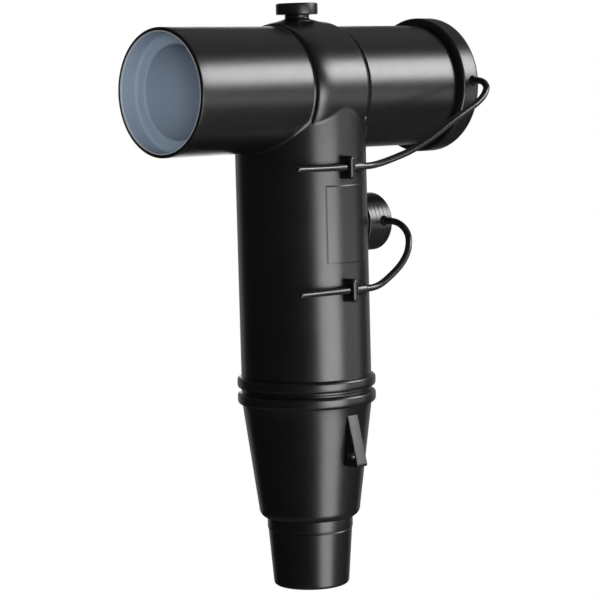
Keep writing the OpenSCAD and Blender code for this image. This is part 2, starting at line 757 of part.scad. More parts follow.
// Ribbed rubber cap of the test point
module test_point_cap() {
    first_rib = 3;
    rib_step = 0.7;
    rib_zone = test_cap_len - 7;
    pitch = rib_zone / test_rib_count;
    edge = 0.5;
    end_r = 2;
    dome = 0.3;
    pin_room = 0.6;
    inside = test_x + test_collar_out + seat_gap - test_cap_x;
    pocket = inside + test_pin_out + pin_room;
    color("#1c1d1f") translate([0, 0, -test_drop]) along_x(test_cap_x) difference() {
        rotate_extrude() polygon(concat(
            [[0, 0], [test_cap_r - edge, 0], [test_cap_r, edge]],
            [for (i = [0:test_rib_count - 1], k = [0:2])
                [test_cap_r - (k == 1 ? test_rib_depth : 0), first_rib + i * pitch + k * rib_step]],
            arc(test_cap_r - end_r, test_cap_len - end_r, end_r, 0, 90, 6),
            [[0, test_cap_len + dome]]
        ));
        translate([0, 0, -overcut]) cylinder(r = test_collar_r + seat_gap, h = inside + overcut);
        cylinder(r = test_pin_r + pin_room, h = pocket);
    }
}

function unit(v) = v / norm(v);

// Point on the smooth curve through four route points, between the middle two
function curve_point(a, b, c, d, t) =
    0.5 * ((2 * b) + (c - a) * t + (2 * a - 5 * b + 4 * c - d) * t * t + (3 * b - a - 3 * c + d) * t * t * t);

// Every route point and one more between each two
function smooth(p) = [
    for (i = [0:len(p) - 2], k = [0, 1])
        curve_point(p[max(i - 1, 0)], p[i], p[i + 1], p[min(i + 2, len(p) - 1)], k / 2),
    p[len(p) - 1]
];

// Direction of a route at point i
function heading(p, i) = unit(p[min(i + 1, len(p) - 1)] - p[max(i - 1, 0)]);

// Round tube swept along a route; side is a direction that the route never takes
module tube(route, r, side, first, last, n = 10) {
    p = smooth(route);
    m = len(p);
    dir = [for (i = [0:m - 1]) i == 0 ? first : i == m - 1 ? last : heading(p, i)];
    ring = [for (i = [0:m - 1]) let (u = unit(cross(dir[i], side)), v = cross(dir[i], u))
        for (k = [0:n - 1]) p[i] + r * (cos(360 * k / n) * u + sin(360 * k / n) * v)];
    sides = [for (i = [0:m - 2], k = [0:n - 1]) let (j = (k + 1) % n)
        [i * n + k, i * n + j, (i + 1) * n + j, (i + 1) * n + k]];
    ends = [[for (k = [n - 1:-1:0]) k], [for (k = [0:n - 1]) (m - 1) * n + k]];
    polyhedron(ring, concat(sides, ends));
}

// Strap of the rear cap
module rear_cap_strap() {
    color("#222326") tube(rear_strap_route, strap_d / 2, [-0.45, 0, 0.9], [0, -1, 0], [-1, 0, 0]);
}

// Strap of the test point cap
module test_cap_strap() {
    color("#222326") tube(test_strap_route, strap_d / 2, [0.7, 0, -0.7], [0, -1, 0], [-1, 0, 0]);
}

// Stop collar and barbed tail that hold a strap in its ear
module strap_tail(drop) {
    front = ear_x - ear_t / 2 - seat_gap;
    rear = ear_x + ear_t / 2 + seat_gap;
    tip_r = 0.8;
    barb_len = 10;
    barb_flat = 1.4;
    edge = 0.5;
    color("#222326") translate([0, hole_y, -drop]) along_x() rotate_extrude() polygon(concat(
        [[0, front - tail_len]],
        arc(tail_r - tip_r, front - tail_len + tip_r, tip_r, -90, 0, 4),
        [[tail_r, front - barb_len], [barb_r, front - barb_flat], [barb_r, front], [tail_r, front],
         [tail_r, rear], [stop_r - edge, rear], [stop_r, rear + edge]],
        [[stop_r, rear + stop_len - edge], [stop_r - edge, rear + stop_len], [0, rear + stop_len]]
    ));
}

// Tail of the rear cap's strap
module rear_cap_strap_tail() {
    strap_tail(upper_ear_drop);
}

// Tail of the test point cap's strap
module test_cap_strap_tail() {
    strap_tail(lower_ear_drop);
}

outer_screen();
insulation_body();
inner_electrode();
adapter_jacket();
stress_cone();
cable_lug();
shear_screws();
contact_stud();
flat_washer();
spring_washer();
clamp_nut();
insulating_plug();
plug_core();
plug_head();
rear_cap();
rear_cap_strap();
rear_cap_strap_tail();
test_point_electrode();
test_point_cap();
test_cap_strap();
test_cap_strap_tail();
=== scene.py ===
"""Looks of a separable T-connector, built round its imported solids.

Sizes of pieces are in millimetres and become metres where a mesh is made. The middle of the mouth is
the origin, the barrel runs along x, and the cable leaves straight down.
"""

import enum
import functools
import logging
from dataclasses import dataclass, field

import bmesh
import bpy
import numpy as np
from mathutils import Matrix


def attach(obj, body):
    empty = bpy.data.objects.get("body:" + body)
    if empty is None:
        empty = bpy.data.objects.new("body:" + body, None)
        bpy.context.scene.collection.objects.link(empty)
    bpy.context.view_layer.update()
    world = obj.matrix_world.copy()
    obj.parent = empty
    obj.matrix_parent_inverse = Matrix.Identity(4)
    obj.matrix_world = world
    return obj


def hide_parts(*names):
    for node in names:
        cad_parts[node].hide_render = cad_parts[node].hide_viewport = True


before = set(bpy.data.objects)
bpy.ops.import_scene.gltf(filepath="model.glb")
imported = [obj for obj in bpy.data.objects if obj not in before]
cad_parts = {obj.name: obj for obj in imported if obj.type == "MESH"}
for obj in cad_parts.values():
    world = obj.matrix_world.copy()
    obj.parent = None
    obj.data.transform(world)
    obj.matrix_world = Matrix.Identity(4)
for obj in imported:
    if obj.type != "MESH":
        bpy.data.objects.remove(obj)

LOG = logging.getLogger("connector")
MM = 0.001
IMAGE_SIDE = 600
CROSSING = (0.112, 0.0, -0.08)
MERGED_BELOW = 0.001 * MM
SAME_POINT = 1e-4
LEAST_LENGTH = 1e-9
LEAST_TURN = 1e-6
TABLE_ROWS = 4001

Points = np.ndarray
Colour = tuple[float, float, float]
Place = tuple[float, float, float]
Socket = bpy.types.NodeSocket
Material = bpy.types.Material


class Graph:
    """Short hand for the nodes of one material."""

    def __init__(self, name: str) -> None:
        """Starts a material whose patterns read Object coordinates.

        Args:
            name: name of the material.
        """
        self.material = bpy.data.materials.new(name)
        self.material.use_nodes = True
        self.tree = self.material.node_tree
        self.shader = self.tree.nodes["Principled BSDF"]
        self.place = self.tree.nodes.new("ShaderNodeTexCoord").outputs["Object"]

    def link(self, source: Socket, target: Socket) -> None:
        """Joins two sockets."""
        self.tree.links.new(source, target)

    def into(self, name: str, source: Socket) -> None:
        """Joins a socket to one of the shader's inputs."""
        self.link(source, self.shader.inputs[name])

    def fixed(self, name: str, number: float) -> None:
        """Sets one of the shader's inputs to a number that is the same all over."""
        self.shader.inputs[name].default_value = number

    def stretched(self, scale: Place) -> Socket:
        """Gives the place with its axes scaled apart, for a grain that runs one way.

        Args:
            scale: factor of each axis.

        Returns:
            The scaled place.
        """
        node = self.tree.nodes.new("ShaderNodeMapping")
        node.inputs["Scale"].default_value = scale
        self.link(self.place, node.inputs["Vector"])
        return node.outputs["Vector"]

    def noise(self, size: float, detail: float, place: Socket | None = None) -> Socket:
        """Gives noise whose patches are about a given size.

        Args:
            size: width of a patch in metres.
            detail: number of finer layers.
            place: vector to read, or None for the plain place.

        Returns:
            The noise's factor, from 0 to 1.
        """
        node = self.tree.nodes.new("ShaderNodeTexNoise")
        node.inputs["Scale"].default_value = 1 / size
        node.inputs["Detail"].default_value = detail
        self.link(place or self.place, node.inputs["Vector"])
        return node.outputs["Fac"]

    def ranged(self, value: Socket, low: float, high: float, start: float = 0.3,
               end: float = 0.7) -> Socket:
        """Maps a noise or a length onto a range of numbers.

        Args:
            value: the noise or length.
            low: number that start becomes.
            high: number that end becomes.
            start: value at the beginning of the range.
            end: value at its end.

        Returns:
            The mapped number.
        """
        node = self.tree.nodes.new("ShaderNodeMapRange")
        for key, number in (("From Min", start), ("From Max", end), ("To Min", low), ("To Max", high)):
            node.inputs[key].default_value = number
        self.link(value, node.inputs["Value"])
        return node.outputs["Result"]

    def blend(self, share: Socket, first: Colour | Socket, second: Colour) -> Socket:
        """Mixes two colours.

        Args:
            share: how much of the second colour shows.
            first: linear colour at share 0, or a socket that gives it.
            second: linear colour at share 1.

        Returns:
            The mixed colour.
        """
        node = self.tree.nodes.new("ShaderNodeMix")
        node.data_type = "RGBA"
        if isinstance(first, Socket):
            self.link(first, node.inputs["A"])
        else:
            node.inputs["A"].default_value = (*first, 1)
        node.inputs["B"].default_value = (*second, 1)
        self.link(share, node.inputs["Factor"])
        return node.outputs["Result"]

    def relief(self, *layers: tuple[Socket, float]) -> None:
        """Sets bumps on the shader, one over the other.

        Args:
            layers: each height and how far it stands out at 1, in metres.
        """
        normal = None
        for height, distance in layers:
            node = self.tree.nodes.new("ShaderNodeBump")
            node.inputs["Distance"].default_value = distance
            self.link(height, node.inputs["Height"])
            if normal is not None:
                self.link(normal, node.inputs["Normal"])
            normal = node.outputs["Normal"]
        self.into("Normal", normal)


@dataclass(frozen=True)
class Finish:
    """Finish of a piece: a colour that drifts into a second one in soft patches."""

    name: str
    colour: Colour
    drift: Colour
    patch: float = 9 * MM
    patch_detail: float = 3

    def material(self) -> Material:
        """Builds the finish: its colour, and what its kind adds.

        Returns:
            The new material.
        """
        graph = Graph(self.name)
        share = graph.ranged(graph.noise(self.patch, self.patch_detail), 0, 1)
        graph.into("Base Color", self.dress(graph, graph.blend(share, self.colour, self.drift)))
        return graph.material

    def dress(self, graph: Graph, colour: Socket) -> Socket:
        """Adds gloss and relief.

        Args:
            graph: nodes of the material.
            colour: the drifting colour.

        Returns:
            The colour that shows.
        """
        raise NotImplementedError("each kind of finish dresses itself")


@dataclass(frozen=True)
class Rubber(Finish):
    """Moulded rubber: an even colour, a satin skin, soft waves and a very fine grain, and where given a
    painted highlight on the lip of the mouth.
    """

    patch: float = 28 * MM
    roughness: tuple[float, float] = (0.3, 0.33)
    gloss_patch: float = 7 * MM
    level: float = 1.0
    ior: float = 1.5
    wave: float = 45 * MM
    wave_height: float = 0.03 * MM
    grain: float = 0.6 * MM
    grain_height: float = 0.004 * MM
    # painted highlight: a paler colour on the mouth's lip, standing in for light caught by its edge
    painted_rim_highlight: Colour | None = None
    painted_rim_depth: float = 1.3 * MM
    painted_rim_full: float = 0.8

    def dress(self, graph: Graph, colour: Socket) -> Socket:
        """Adds gloss, waves and grain, and a painted highlight where a rim colour is given: a paler band
        of colour on the lip at the mouth, where its edge would catch the light.

        Along the barrel the painted highlight shows fully over a share of its depth, and fades up to its
        depth.

        Args:
            graph: nodes of the material.
            colour: the drifting colour.

        Returns:
            The colour with its rim.
        """
        # painted highlight: the rim colour is blended in near the mouth and fades along x
        if self.painted_rim_highlight is not None:
            axes = graph.tree.nodes.new("ShaderNodeSeparateXYZ")
            graph.link(graph.place, axes.inputs["Vector"])
            share = graph.ranged(axes.outputs["X"], 1, 0, self.painted_rim_full * self.painted_rim_depth, self.painted_rim_depth)
            colour = graph.blend(share, colour, self.painted_rim_highlight)
        graph.into("Roughness", graph.ranged(graph.noise(self.gloss_patch, detail=4), *self.roughness))
        graph.fixed("IOR", self.ior)
        graph.fixed("Specular IOR Level", self.level)
        graph.relief((graph.noise(self.wave, detail=1), self.wave_height),
                     (graph.noise(self.grain, detail=3), self.grain_height))
        return colour


@dataclass(frozen=True)
class Metal(Finish):
    """Plated or turned metal with fine tool marks."""

    patch: float = 6 * MM
    patch_detail: float = 4
    roughness: tuple[float, float] = (0.26, 0.4)
    mark: float = 1.2 * MM
    mark_height: float = 0.006 * MM
    stretch: Place = (1, 1, 1)

    def dress(self, graph: Graph, colour: Socket) -> Socket:
        """Adds metal and the marks, which a stretch of x makes finer along the barrel.

        Args:
            graph: nodes of the material.
            colour: the drifting colour.

        Returns:
            The same colour.
        """
        marks = graph.noise(self.mark, detail=3, place=graph.stretched(self.stretch))
        graph.fixed("Metallic", 1.0)
        graph.into("Roughness", graph.ranged(marks, *self.roughness))
        graph.relief((marks, self.mark_height))
        return colour


@dataclass(frozen=True)
class Resin(Finish):
    """Cast resin, glossy, with a slightly wavy skin."""

    roughness: tuple[float, float] = (0.12, 0.22)
    gloss_patch: float = 4 * MM
    coat: float = 0.4
    coat_roughness: float = 0.08
    wave: float = 14 * MM
    wave_height: float = 0.04 * MM

    def dress(self, graph: Graph, colour: Socket) -> Socket:
        """Adds gloss, a thin coat and waves.

        Args:
            graph: nodes of the material.
            colour: the drifting colour.

        Returns:
            The same colour.
        """
        graph.into("Roughness", graph.ranged(graph.noise(self.gloss_patch, detail=3), *self.roughness))
        graph.fixed("Coat Weight", self.coat)
        graph.fixed("Coat Roughness", self.coat_roughness)
        graph.relief((graph.noise(self.wave, detail=1), self.wave_height))
        return colour


BLACK = Rubber("black_screen_rubber", (0.0035, 0.0035, 0.0037), (0.005, 0.005, 0.0052))
STRAP = Rubber("black_strap_rubber", (0.005, 0.005, 0.0052), (0.008, 0.008, 0.0083),
               roughness=(0.26, 0.33))
INSERT = Rubber("matt_insert_rubber", (0.014, 0.014, 0.015), (0.019, 0.019, 0.02),
                roughness=(0.5, 0.62), level=0.5)
# its rim colour is a painted highlight on the insulation's lip at the mouth
BLUE_GREY = Rubber("blue_grey_rubber", (0.33, 0.415, 0.52), (0.345, 0.43, 0.53),
                   roughness=(0.42, 0.52), level=0.4, painted_rim_highlight=(0.56, 0.6, 0.64))
TINNED = Metal("tinned_lug_metal", (0.72, 0.73, 0.75), (0.64, 0.65, 0.68))
ZINC = Metal("zinc_plated_steel", (0.6, 0.6, 0.62), (0.52, 0.53, 0.56), stretch=(6, 1, 1))
SPRING = Metal("spring_steel", (0.36, 0.36, 0.37), (0.27, 0.27, 0.28))
BRASS = Metal("turned_brass", (0.62, 0.47, 0.22), (0.52, 0.37, 0.15), stretch=(6, 1, 1))
RESIN = Resin("red_brown_resin", (0.25, 0.08, 0.05), (0.2, 0.06, 0.035))


@functools.cache
def material_of(finish: Finish) -> Material:
    """Builds a finish once and gives the same material after that."""
    return finish.material()


def placed(axes: Points, place: Place | Points) -> Matrix:
    """Matrix of a camera or a lamp from its axes, which are columns, and its place."""
    return Matrix([[*row, at] for row, at in zip(axes.tolist(), place)] + [[0, 0, 0, 1]])


@dataclass(frozen=True)
class Softbox:
    """Lamp that faces the crossing of the connector, in metres.

    Its direction is from the crossing to the lamp, its size is width and height, and its radiance is
    the brightness of its face. The camera doesn't see it.
    """

    name: str
    towards: Place
    distance: float
    size: tuple[float, float]
    radiance: float
    seen_in_gloss: bool = True

    def hang(self) -> None:
        """Makes the lamp and turns its face to the crossing."""
        data = bpy.data.lights.new(self.name, "AREA")
        data.shape = "RECTANGLE"
        data.size, data.size_y = self.size
        data.energy = self.radiance * np.pi * self.size[0] * self.size[1]
        back = np.array(self.towards) / np.linalg.norm(self.towards)
        across = np.cross([0, 0, 1], back)
        across /= np.linalg.norm(across)
        axes = np.stack([across, np.cross(back, across), back], 1)
        lamp = bpy.data.objects.new(self.name, data)
        lamp.matrix_world = placed(axes, np.array(CROSSING) + self.distance * back)
        lamp.visible_glossy = self.seen_in_gloss
        bpy.context.scene.collection.objects.link(lamp)


SOFTBOXES = (
    Softbox("side_softbox", (0.684, -0.62, 0.385), 2.3, (1.3, 0.95), 7.9),
    Softbox("front_softbox", (0.02, -0.993, -0.114), 1.5, (1.1, 0.42), 4.7),
    Softbox("low_softbox", (0.02, -0.87, -0.48), 1.5, (0.85, 0.85), 3.1),
    Softbox("right_softbox", (0.75, -0.66, -0.16), 1.5, (0.95, 0.33), 0.85),
    Softbox("top_softbox", (0.55, 0.2, 0.8), 1.5, (1.2, 1.2), 0.15),
    Softbox("back_softbox", (0.64, 0.75, -0.03), 1.6, (0.4, 1.3), 2.0),
    Softbox("mouth_softbox", (-0.74, -0.66, 0.12), 1.5, (0.8, 0.8), 5.6, seen_in_gloss=False),
)


@dataclass
class Studio:
    """Camera at the photograph's viewpoint, softboxes, a pale floor and a white backdrop, in metres."""

    focal_px: float = 2261.9
    eye: Place = (-0.8533, -1.0042, 0.0057)
    azimuth: float = 43.757
    elevation: float = 5.572
    roll: float = -1.527
    sensor: float = 36.0
    farthest: float = 50.0
    dim: float = 0.03
    card_grey: float = 0.15
    card_roughness: float = 0.9
    floor_z: float = -1.3
    floor_half: float = 6.0
    backdrop_away: float = 3.0
    backdrop_size: tuple[float, float] = (5.2, 2.4)
    backdrop_glow: float = 0.35

    def camera(self) -> None:
        """Sets the camera, looking along its azimuth and down by its elevation."""
        az, el, roll = np.radians([self.azimuth, self.elevation, self.roll])
        ahead = np.array([np.sin(az) * np.cos(el), np.cos(az) * np.cos(el), -np.sin(el)])
        right = np.cross(ahead, [0, 0, 1])
        right /= np.linalg.norm(right)
        up = np.cross(right, ahead)
        turned_right = np.cos(roll) * right + np.sin(roll) * up
        turned_up = -np.sin(roll) * right + np.cos(roll) * up
        data = bpy.data.cameras.new("photo_view")
        data.sensor_width = self.sensor
        data.lens = self.sensor * self.focal_px / IMAGE_SIDE
        data.clip_end = self.farthest
        camera = bpy.data.objects.new("photo_view", data)
        camera.matrix_world = placed(np.stack([turned_right, turned_up, -ahead], 1), self.eye)
        bpy.context.scene.collection.objects.link(camera)
        bpy.context.scene.camera = camera

    def white_to(self, rays: tuple[str, ...], tree: bpy.types.NodeTree, plain: Socket,
                 target: Socket, strength: float = 1.0) -> None:
        """Shows plain white to the camera and to other kinds of ray, and a shader to all the rest.

        Args:
            rays: outputs of Light Path that see the white beside the camera's.
            tree: node tree of the world, the floor or the backdrop.
            plain: shader for the rest.
            target: surface input of the output node.
            strength: brightness of the white for rays that aren't the camera's.
        """
        path = tree.nodes.new("ShaderNodeLightPath")
        camera = path.outputs["Is Camera Ray"]
        chosen = camera
        for ray in rays:
            either = tree.nodes.new("ShaderNodeMath")
            either.operation = "MAXIMUM"
            tree.links.new(chosen, either.inputs[0])
            tree.links.new(path.outputs[ray], either.inputs[1])
            chosen = either.outputs["Value"]
        level = tree.nodes.new("ShaderNodeMapRange")
        level.inputs["To Min"].default_value = strength
        level.inputs["To Max"].default_value = 1.0
        tree.links.new(camera, level.inputs["Value"])
        white = tree.nodes.new("ShaderNodeEmission" if target.node.type == "OUTPUT_MATERIAL"
                               else "ShaderNodeBackground")
        white.inputs["Color"].default_value = (1, 1, 1, 1)
        tree.links.new(level.outputs["Result"], white.inputs["Strength"])
        mix = tree.nodes.new("ShaderNodeMixShader")
        tree.links.new(chosen, mix.inputs["Fac"])
        tree.links.new(plain, mix.inputs[1])
        tree.links.new(white.outputs[0], mix.inputs[2])
        tree.links.new(mix.outputs[0], target)

    def world(self) -> None:
        """Lights everything dimly and evenly, on a white background."""
        world = bpy.data.worlds.new("studio")
        bpy.context.scene.world = world
        world.use_nodes = True
        nodes = world.node_tree.nodes
        grey = nodes["Background"]
        grey.inputs["Color"].default_value = (1, 1, 1, 1)
        grey.inputs["Strength"].default_value = self.dim
        self.white_to(("Is Transmission Ray",), world.node_tree, grey.outputs[0],
                      nodes["World Output"].inputs["Surface"])

    def card(self, name: str, corners: list[Place], rays: tuple[str, ...] = (),
             glow: float = 1.0) -> None:
        """Sets up a flat matt grey card that the camera sees as white.

        Args:
            name: name of the card.
            corners: its four corners.
            rays: outputs of Light Path that see it white beside the camera's.
            glow: brightness of that white.
        """
        mesh = bpy.data.meshes.new(name)
        mesh.from_pydata(corners, [], [(0, 1, 2, 3)])
        card = bpy.data.objects.new(name, mesh)
        material = bpy.data.materials.new(f"pale_{name}")
        material.use_nodes = True
        nodes = material.node_tree.nodes
        shader = nodes["Principled BSDF"]
        shader.inputs["Base Color"].default_value = (*[self.card_grey] * 3, 1)
        shader.inputs["Roughness"].default_value = self.card_roughness
        self.white_to(rays, material.node_tree, shader.outputs[0],
                      nodes["Material Output"].inputs["Surface"], glow)
        mesh.materials.append(material)
        bpy.context.scene.collection.objects.link(card)

    def cards(self) -> None:
        """Lays a pale floor under the hanging connector and stands a white backdrop behind it."""
        half, foot, top = self.floor_half, self.floor_z, self.floor_z + self.backdrop_size[1]
        self.card("floor", [(x * half, y * half, foot) for x, y in ((-1, -1), (1, -1), (1, 1), (-1, 1))])
        az = np.radians(self.azimuth)
        middle = np.array(CROSSING) + self.backdrop_away * np.array([np.sin(az), np.cos(az), 0])
        across = self.backdrop_size[0] / 2 * np.array([np.cos(az), -np.sin(az), 0])
        corners = [(*(middle + side * across)[:2], z)
                   for side, z in ((-1, foot), (1, foot), (1, top), (-1, top))]
        self.card("backdrop", corners, ("Is Glossy Ray", "Is Transmission Ray"), self.backdrop_glow)

    def build(self) -> None:
        """Sets up the whole studio."""
        bpy.context.scene.view_settings.view_transform = "Standard"
        self.camera()
        self.world()
        self.cards()
        for softbox in SOFTBOXES:
            softbox.hang()
        LOG.info("studio: camera, %d softboxes, world, floor and backdrop", len(SOFTBOXES))


def graded(start: float, end: float, count: int, fine: tuple[tuple[float, float, float], ...] = (),
           exact: tuple[float, ...] = ()) -> Points:
    """Numbers from start to end that lie closer together near given places.

    Their density is 1 plus, for each place, gain / (1 + ((t - centre) / width)^4). Its running sum is
    cut into even steps.

    Args:
        start: first number.
        end: last number.
        count: how many numbers.
        fine: centre, half width and gain of each place.
        exact: numbers that the nearest ones are moved to.

    Returns:
        The numbers in rising order.
    """
    t = np.linspace(start, end, TABLE_ROWS)
    density = 0 * t + 1
    for centre, width, gain in fine:
        density += gain / (1 + ((t - centre) / width) ** 4)
    total = np.concatenate([[0], np.cumsum((density[1:] + density[:-1]) / 2)])
    numbers = np.interp(np.linspace(0, total[-1], count), total, t)
    for number in exact:
        numbers[np.argmin(np.abs(numbers - number))] = number
    return numbers


def arc(centre: tuple[float, float], radii: tuple[float, float], start: float,
        end: float, steps: int) -> Points:
    """Points of a stretch of a circle or an oval.

    Args:
        centre: its centre.
        radii: its two half axes.
        start: first angle in degrees, from the first axis.
        end: last angle.
        steps: number of steps between them.

    Returns:
        The points, one row each.
    """
    angle = np.radians(np.linspace(start, end, steps + 1))
    return np.stack([centre[0] + radii[0] * np.cos(angle), centre[1] + radii[1] * np.sin(angle)], 1)


def rounded(corners: list[tuple[float, float, float]], steps: int = 6) -> Points:
    """Outline through corners, each rounded by an arc that touches both of its sides.

    The arc's centre lies on the corner's bisector, radius / sin(half the corner's angle) away, and its
    points turn evenly from one touching point to the other.

    Args:
        corners: place and rounding radius of each corner; a radius of 0 keeps it sharp.
        steps: number of steps of each arc.

    Returns:
        The outline's points, one row each.
    """
    place, radius = np.split(np.array(corners, float), [2], axis=1)
    back = np.roll(place, 1, axis=0) - place
    ahead = np.roll(place, -1, axis=0) - place
    back /= np.linalg.norm(back, axis=1, keepdims=True)
    ahead /= np.linalg.norm(ahead, axis=1, keepdims=True)
    half = np.arccos(np.clip((back * ahead).sum(1, keepdims=True), -1, 1)) / 2
    middle = back + ahead
    middle /= np.maximum(np.linalg.norm(middle, axis=1, keepdims=True), LEAST_LENGTH)
    centre = middle * radius / np.sin(half)
    first, last = back * radius / np.tan(half) - centre, ahead * radius / np.tan(half) - centre
    turn = np.maximum(np.pi - 2 * half, LEAST_TURN)[:, None]
    share = np.linspace(0, 1, steps + 1)[None, :, None]
    bend = np.sin((1 - share) * turn) * first[:, None] + np.sin(share * turn) * last[:, None]
    points = ((place + centre)[:, None] + bend / np.sin(turn)).reshape(-1, 2)
    keep = np.linalg.norm(np.diff(points, axis=0, append=points[:1] + 1), axis=1) > SAME_POINT
    return points[keep]


def ease(value: Points, start: float, end: float) -> Points:
    """Rises smoothly from 0 at start to 1 at end, as 3 t^2 - 2 t^3."""
    t = np.clip((value - start) / (end - start), 0, 1)
    return t * t * (3 - 2 * t)


class Axis(enum.Enum):
    """Axis that a profile is turned round: how many places x, y and z move on from a turn round z."""

    BARREL = 1
    STEM = 0
    ACROSS = 2


@dataclass
class Skin:
    """Surface of one piece, put together from grids of points in millimetres."""

    name: str
    grids: list[Points] = field(default_factory=list)
    quads: list[Points] = field(default_factory=list)
    count: int = 0

    def grid(self, points: Points, close_rows: bool = False, close_cols: bool = False) -> "Skin":
        """Adds a grid of quads.

        Args:
            points: places of its points, as rows x columns x 3.
            close_rows: whether the last row joins the first.
            close_cols: whether the last column joins the first.

        Returns:
            The skin itself.
        """
        rows, cols = points.shape[:2]
        i, j = np.indices((rows - (not close_rows), cols - (not close_cols)))
        down, along = (i + 1) % rows, (j + 1) % cols
        quads = np.stack([i * cols + j, i * cols + along, down * cols + along, down * cols + j], -1)
        self.quads.append(quads.reshape(-1, 4) + self.count)
        self.grids.append(points.reshape(-1, 3))
        self.count += rows * cols
        return self

    def turned(self, profile: Points, axis: Axis, through: Place, segments: int,
               ring: bool = False) -> "Skin":
        """Adds a profile turned round an axis.

        Point (i, j) lies radius_i cos(turn_j) and radius_i sin(turn_j) off the axis, height_i along it.

        Args:
            profile: radius and height of each point.
            axis: axis of the turn.
            through: point on the axis that heights are measured from.
            segments: number of steps round the axis.
            ring: whether the profile closes on itself; otherwise both of its ends are on the axis.

        Returns:
            The skin itself.
        """
        turn = np.linspace(0, 2 * np.pi, segments, endpoint=False)
        radius, height = profile[:, :1], profile[:, 1:]
        points = np.stack([radius * np.cos(turn), radius * np.sin(turn), height + 0 * turn], -1)
        return self.grid(np.roll(points, axis.value, axis=-1) + through, close_rows=ring, close_cols=True)

    def piece(self, finish: Material, slot: str, sharp: float) -> bpy.types.Object:
        """Makes the piece: merges the grids' common points and turns every face outwards.

        Args:
            finish: material of the piece.
            slot: not used.
            sharp: angle in degrees over which an edge stays crisp.

        Returns:
            The piece, riding on the connector's body.
        """
        mesh = bpy.data.meshes.new(self.name)
        mesh.from_pydata((np.vstack(self.grids) * MM).tolist(), [], np.vstack(self.quads).tolist())
        close_mesh(mesh)
        return add_piece(self.name, mesh, finish, sharp)


def close_mesh(mesh: bpy.types.Mesh, turn: bool = True) -> None:
    """Merges a mesh's points that lie together.

    Args:
        mesh: the mesh, changed in place.
        turn: whether its faces are turned outwards too.
    """
    work = bmesh.new()
    work.from_mesh(mesh)
    bmesh.ops.remove_doubles(work, verts=work.verts, dist=MERGED_BELOW)
    if turn:
        bmesh.ops.recalc_face_normals(work, faces=work.faces)
    work.to_mesh(mesh)
    work.free()


def add_piece(name: str, mesh: bpy.types.Mesh, finish: Material,
              sharp: float) -> bpy.types.Object:
    """Links a mesh to the scene as a smooth piece of the connector.

    Args:
        name: name of the piece.
        mesh: its closed mesh.
        finish: its material.
        sharp: angle in degrees over which an edge stays crisp.

    Returns:
        The piece.
    """
    mesh.materials.clear()
    mesh.materials.append(finish)
    mesh.shade_smooth()
    mesh.set_sharp_from_angle(angle=np.radians(sharp))
    piece = bpy.data.objects.new(name, mesh)
    bpy.context.scene.collection.objects.link(piece)
    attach(piece, "root")
    LOG.info("%s: %d faces", name, len(mesh.polygons))
    return piece


def plate(outline: Points, hole: tuple[float, float], hole_r: float, thickness: float, edge: float,
          steps: int = 5) -> Points:
    """Grid of a flat plate with a round hole and rounded edges, square to the barrel's axis.

    Column k runs from the hole's wall across the front face, round the outline's edge, back across the
    rear face and into the hole again. The outline's point k moves in by edge (1 - cos a) along its
    normal where the face is edge (1 - sin a) under the surface, and the hole widens alike.

    Args:
        outline: points of the outline in y and z, star-shaped round the hole.
        hole: y and z of the hole's centre.
        hole_r: radius of the hole.
        thickness: thickness of the plate along x.
        edge: rounding radius of its edges.
        steps: steps of each rounding.

    Returns:
        Points as rows x columns x 3, closed both ways, with x measured from the plate's middle.
    """
    centre = np.array(hole)
    ahead = np.roll(outline, -1, axis=0) - np.roll(outline, 1, axis=0)
    normal = np.stack([ahead[:, 1], -ahead[:, 0]], 1)
    normal /= np.linalg.norm(normal, axis=1, keepdims=True)
    normal *= np.sign(((outline - centre) * normal).sum(1, keepdims=True))
    spokes = outline - centre
    spokes /= np.linalg.norm(spokes, axis=1, keepdims=True)
    angle = np.linspace(0, np.pi / 2, steps + 1)[:, None, None]
    outer = outline - normal * edge * (1 - np.sin(angle))
    inner = centre + spokes * (hole_r + edge * (1 - np.cos(angle)))
    half = thickness / 2
    outer_x = half - edge * (1 - np.cos(angle[:, :, 0]))
    inner_x = half - edge * (1 - np.sin(angle[:, :, 0]))
    loops = np.concatenate([inner, outer, outer[::-1], inner[::-1]])
    x = np.concatenate([inner_x, outer_x, -outer_x[::-1], -inner_x[::-1]])
    return np.concatenate([np.broadcast_to(x[:, :, None], (*loops.shape[:2], 1)), loops], -1)


def even_loop(outline: Points, count: int) -> Points:
    """Cuts a closed outline into even steps.

    Args:
        outline: its points, the last joined to the first.
        count: number of steps.

    Returns:
        The new points, one row each.
    """
    loop = np.vstack([outline, outline[:1]])
    run = np.concatenate([[0], np.cumsum(np.linalg.norm(np.diff(loop, axis=0), axis=1))])
    at = np.linspace(0, run[-1], count, endpoint=False)
    return np.stack([np.interp(at, run, loop[:, 0]), np.interp(at, run, loop[:, 1])], 1)


def smooth_path(route: Points, steps: int) -> Points:
    """Smooth curve through the points of a route.

    Between two points it is the cubic whose slope at each point is half the way from the
    point before to the point after.

    Args:
        route: the given points, one row each.
        steps: number of pieces between two points.

    Returns:
        Points along the curve.
    """
    before = np.vstack([route[:1], route[:-2]])
    after = np.vstack([route[2:], route[-1:]])
    a, b, c, d = (p[:, None, :] for p in (before, route[:-1], route[1:], after))
    t = (np.arange(steps) / steps)[None, :, None]
    square, cube = 2 * a - 5 * b + 4 * c - d, 3 * b - a - 3 * c + d
    curve = 0.5 * (2 * b + (c - a) * t + square * t**2 + cube * t**3)
    return np.vstack([curve.reshape(-1, 3), route[-1:]])


def straight(radius: float, heights: Points) -> Points:
    """Profile of a plain cylinder: one radius at all heights."""
    return np.stack([np.full(len(heights), radius), heights], 1)


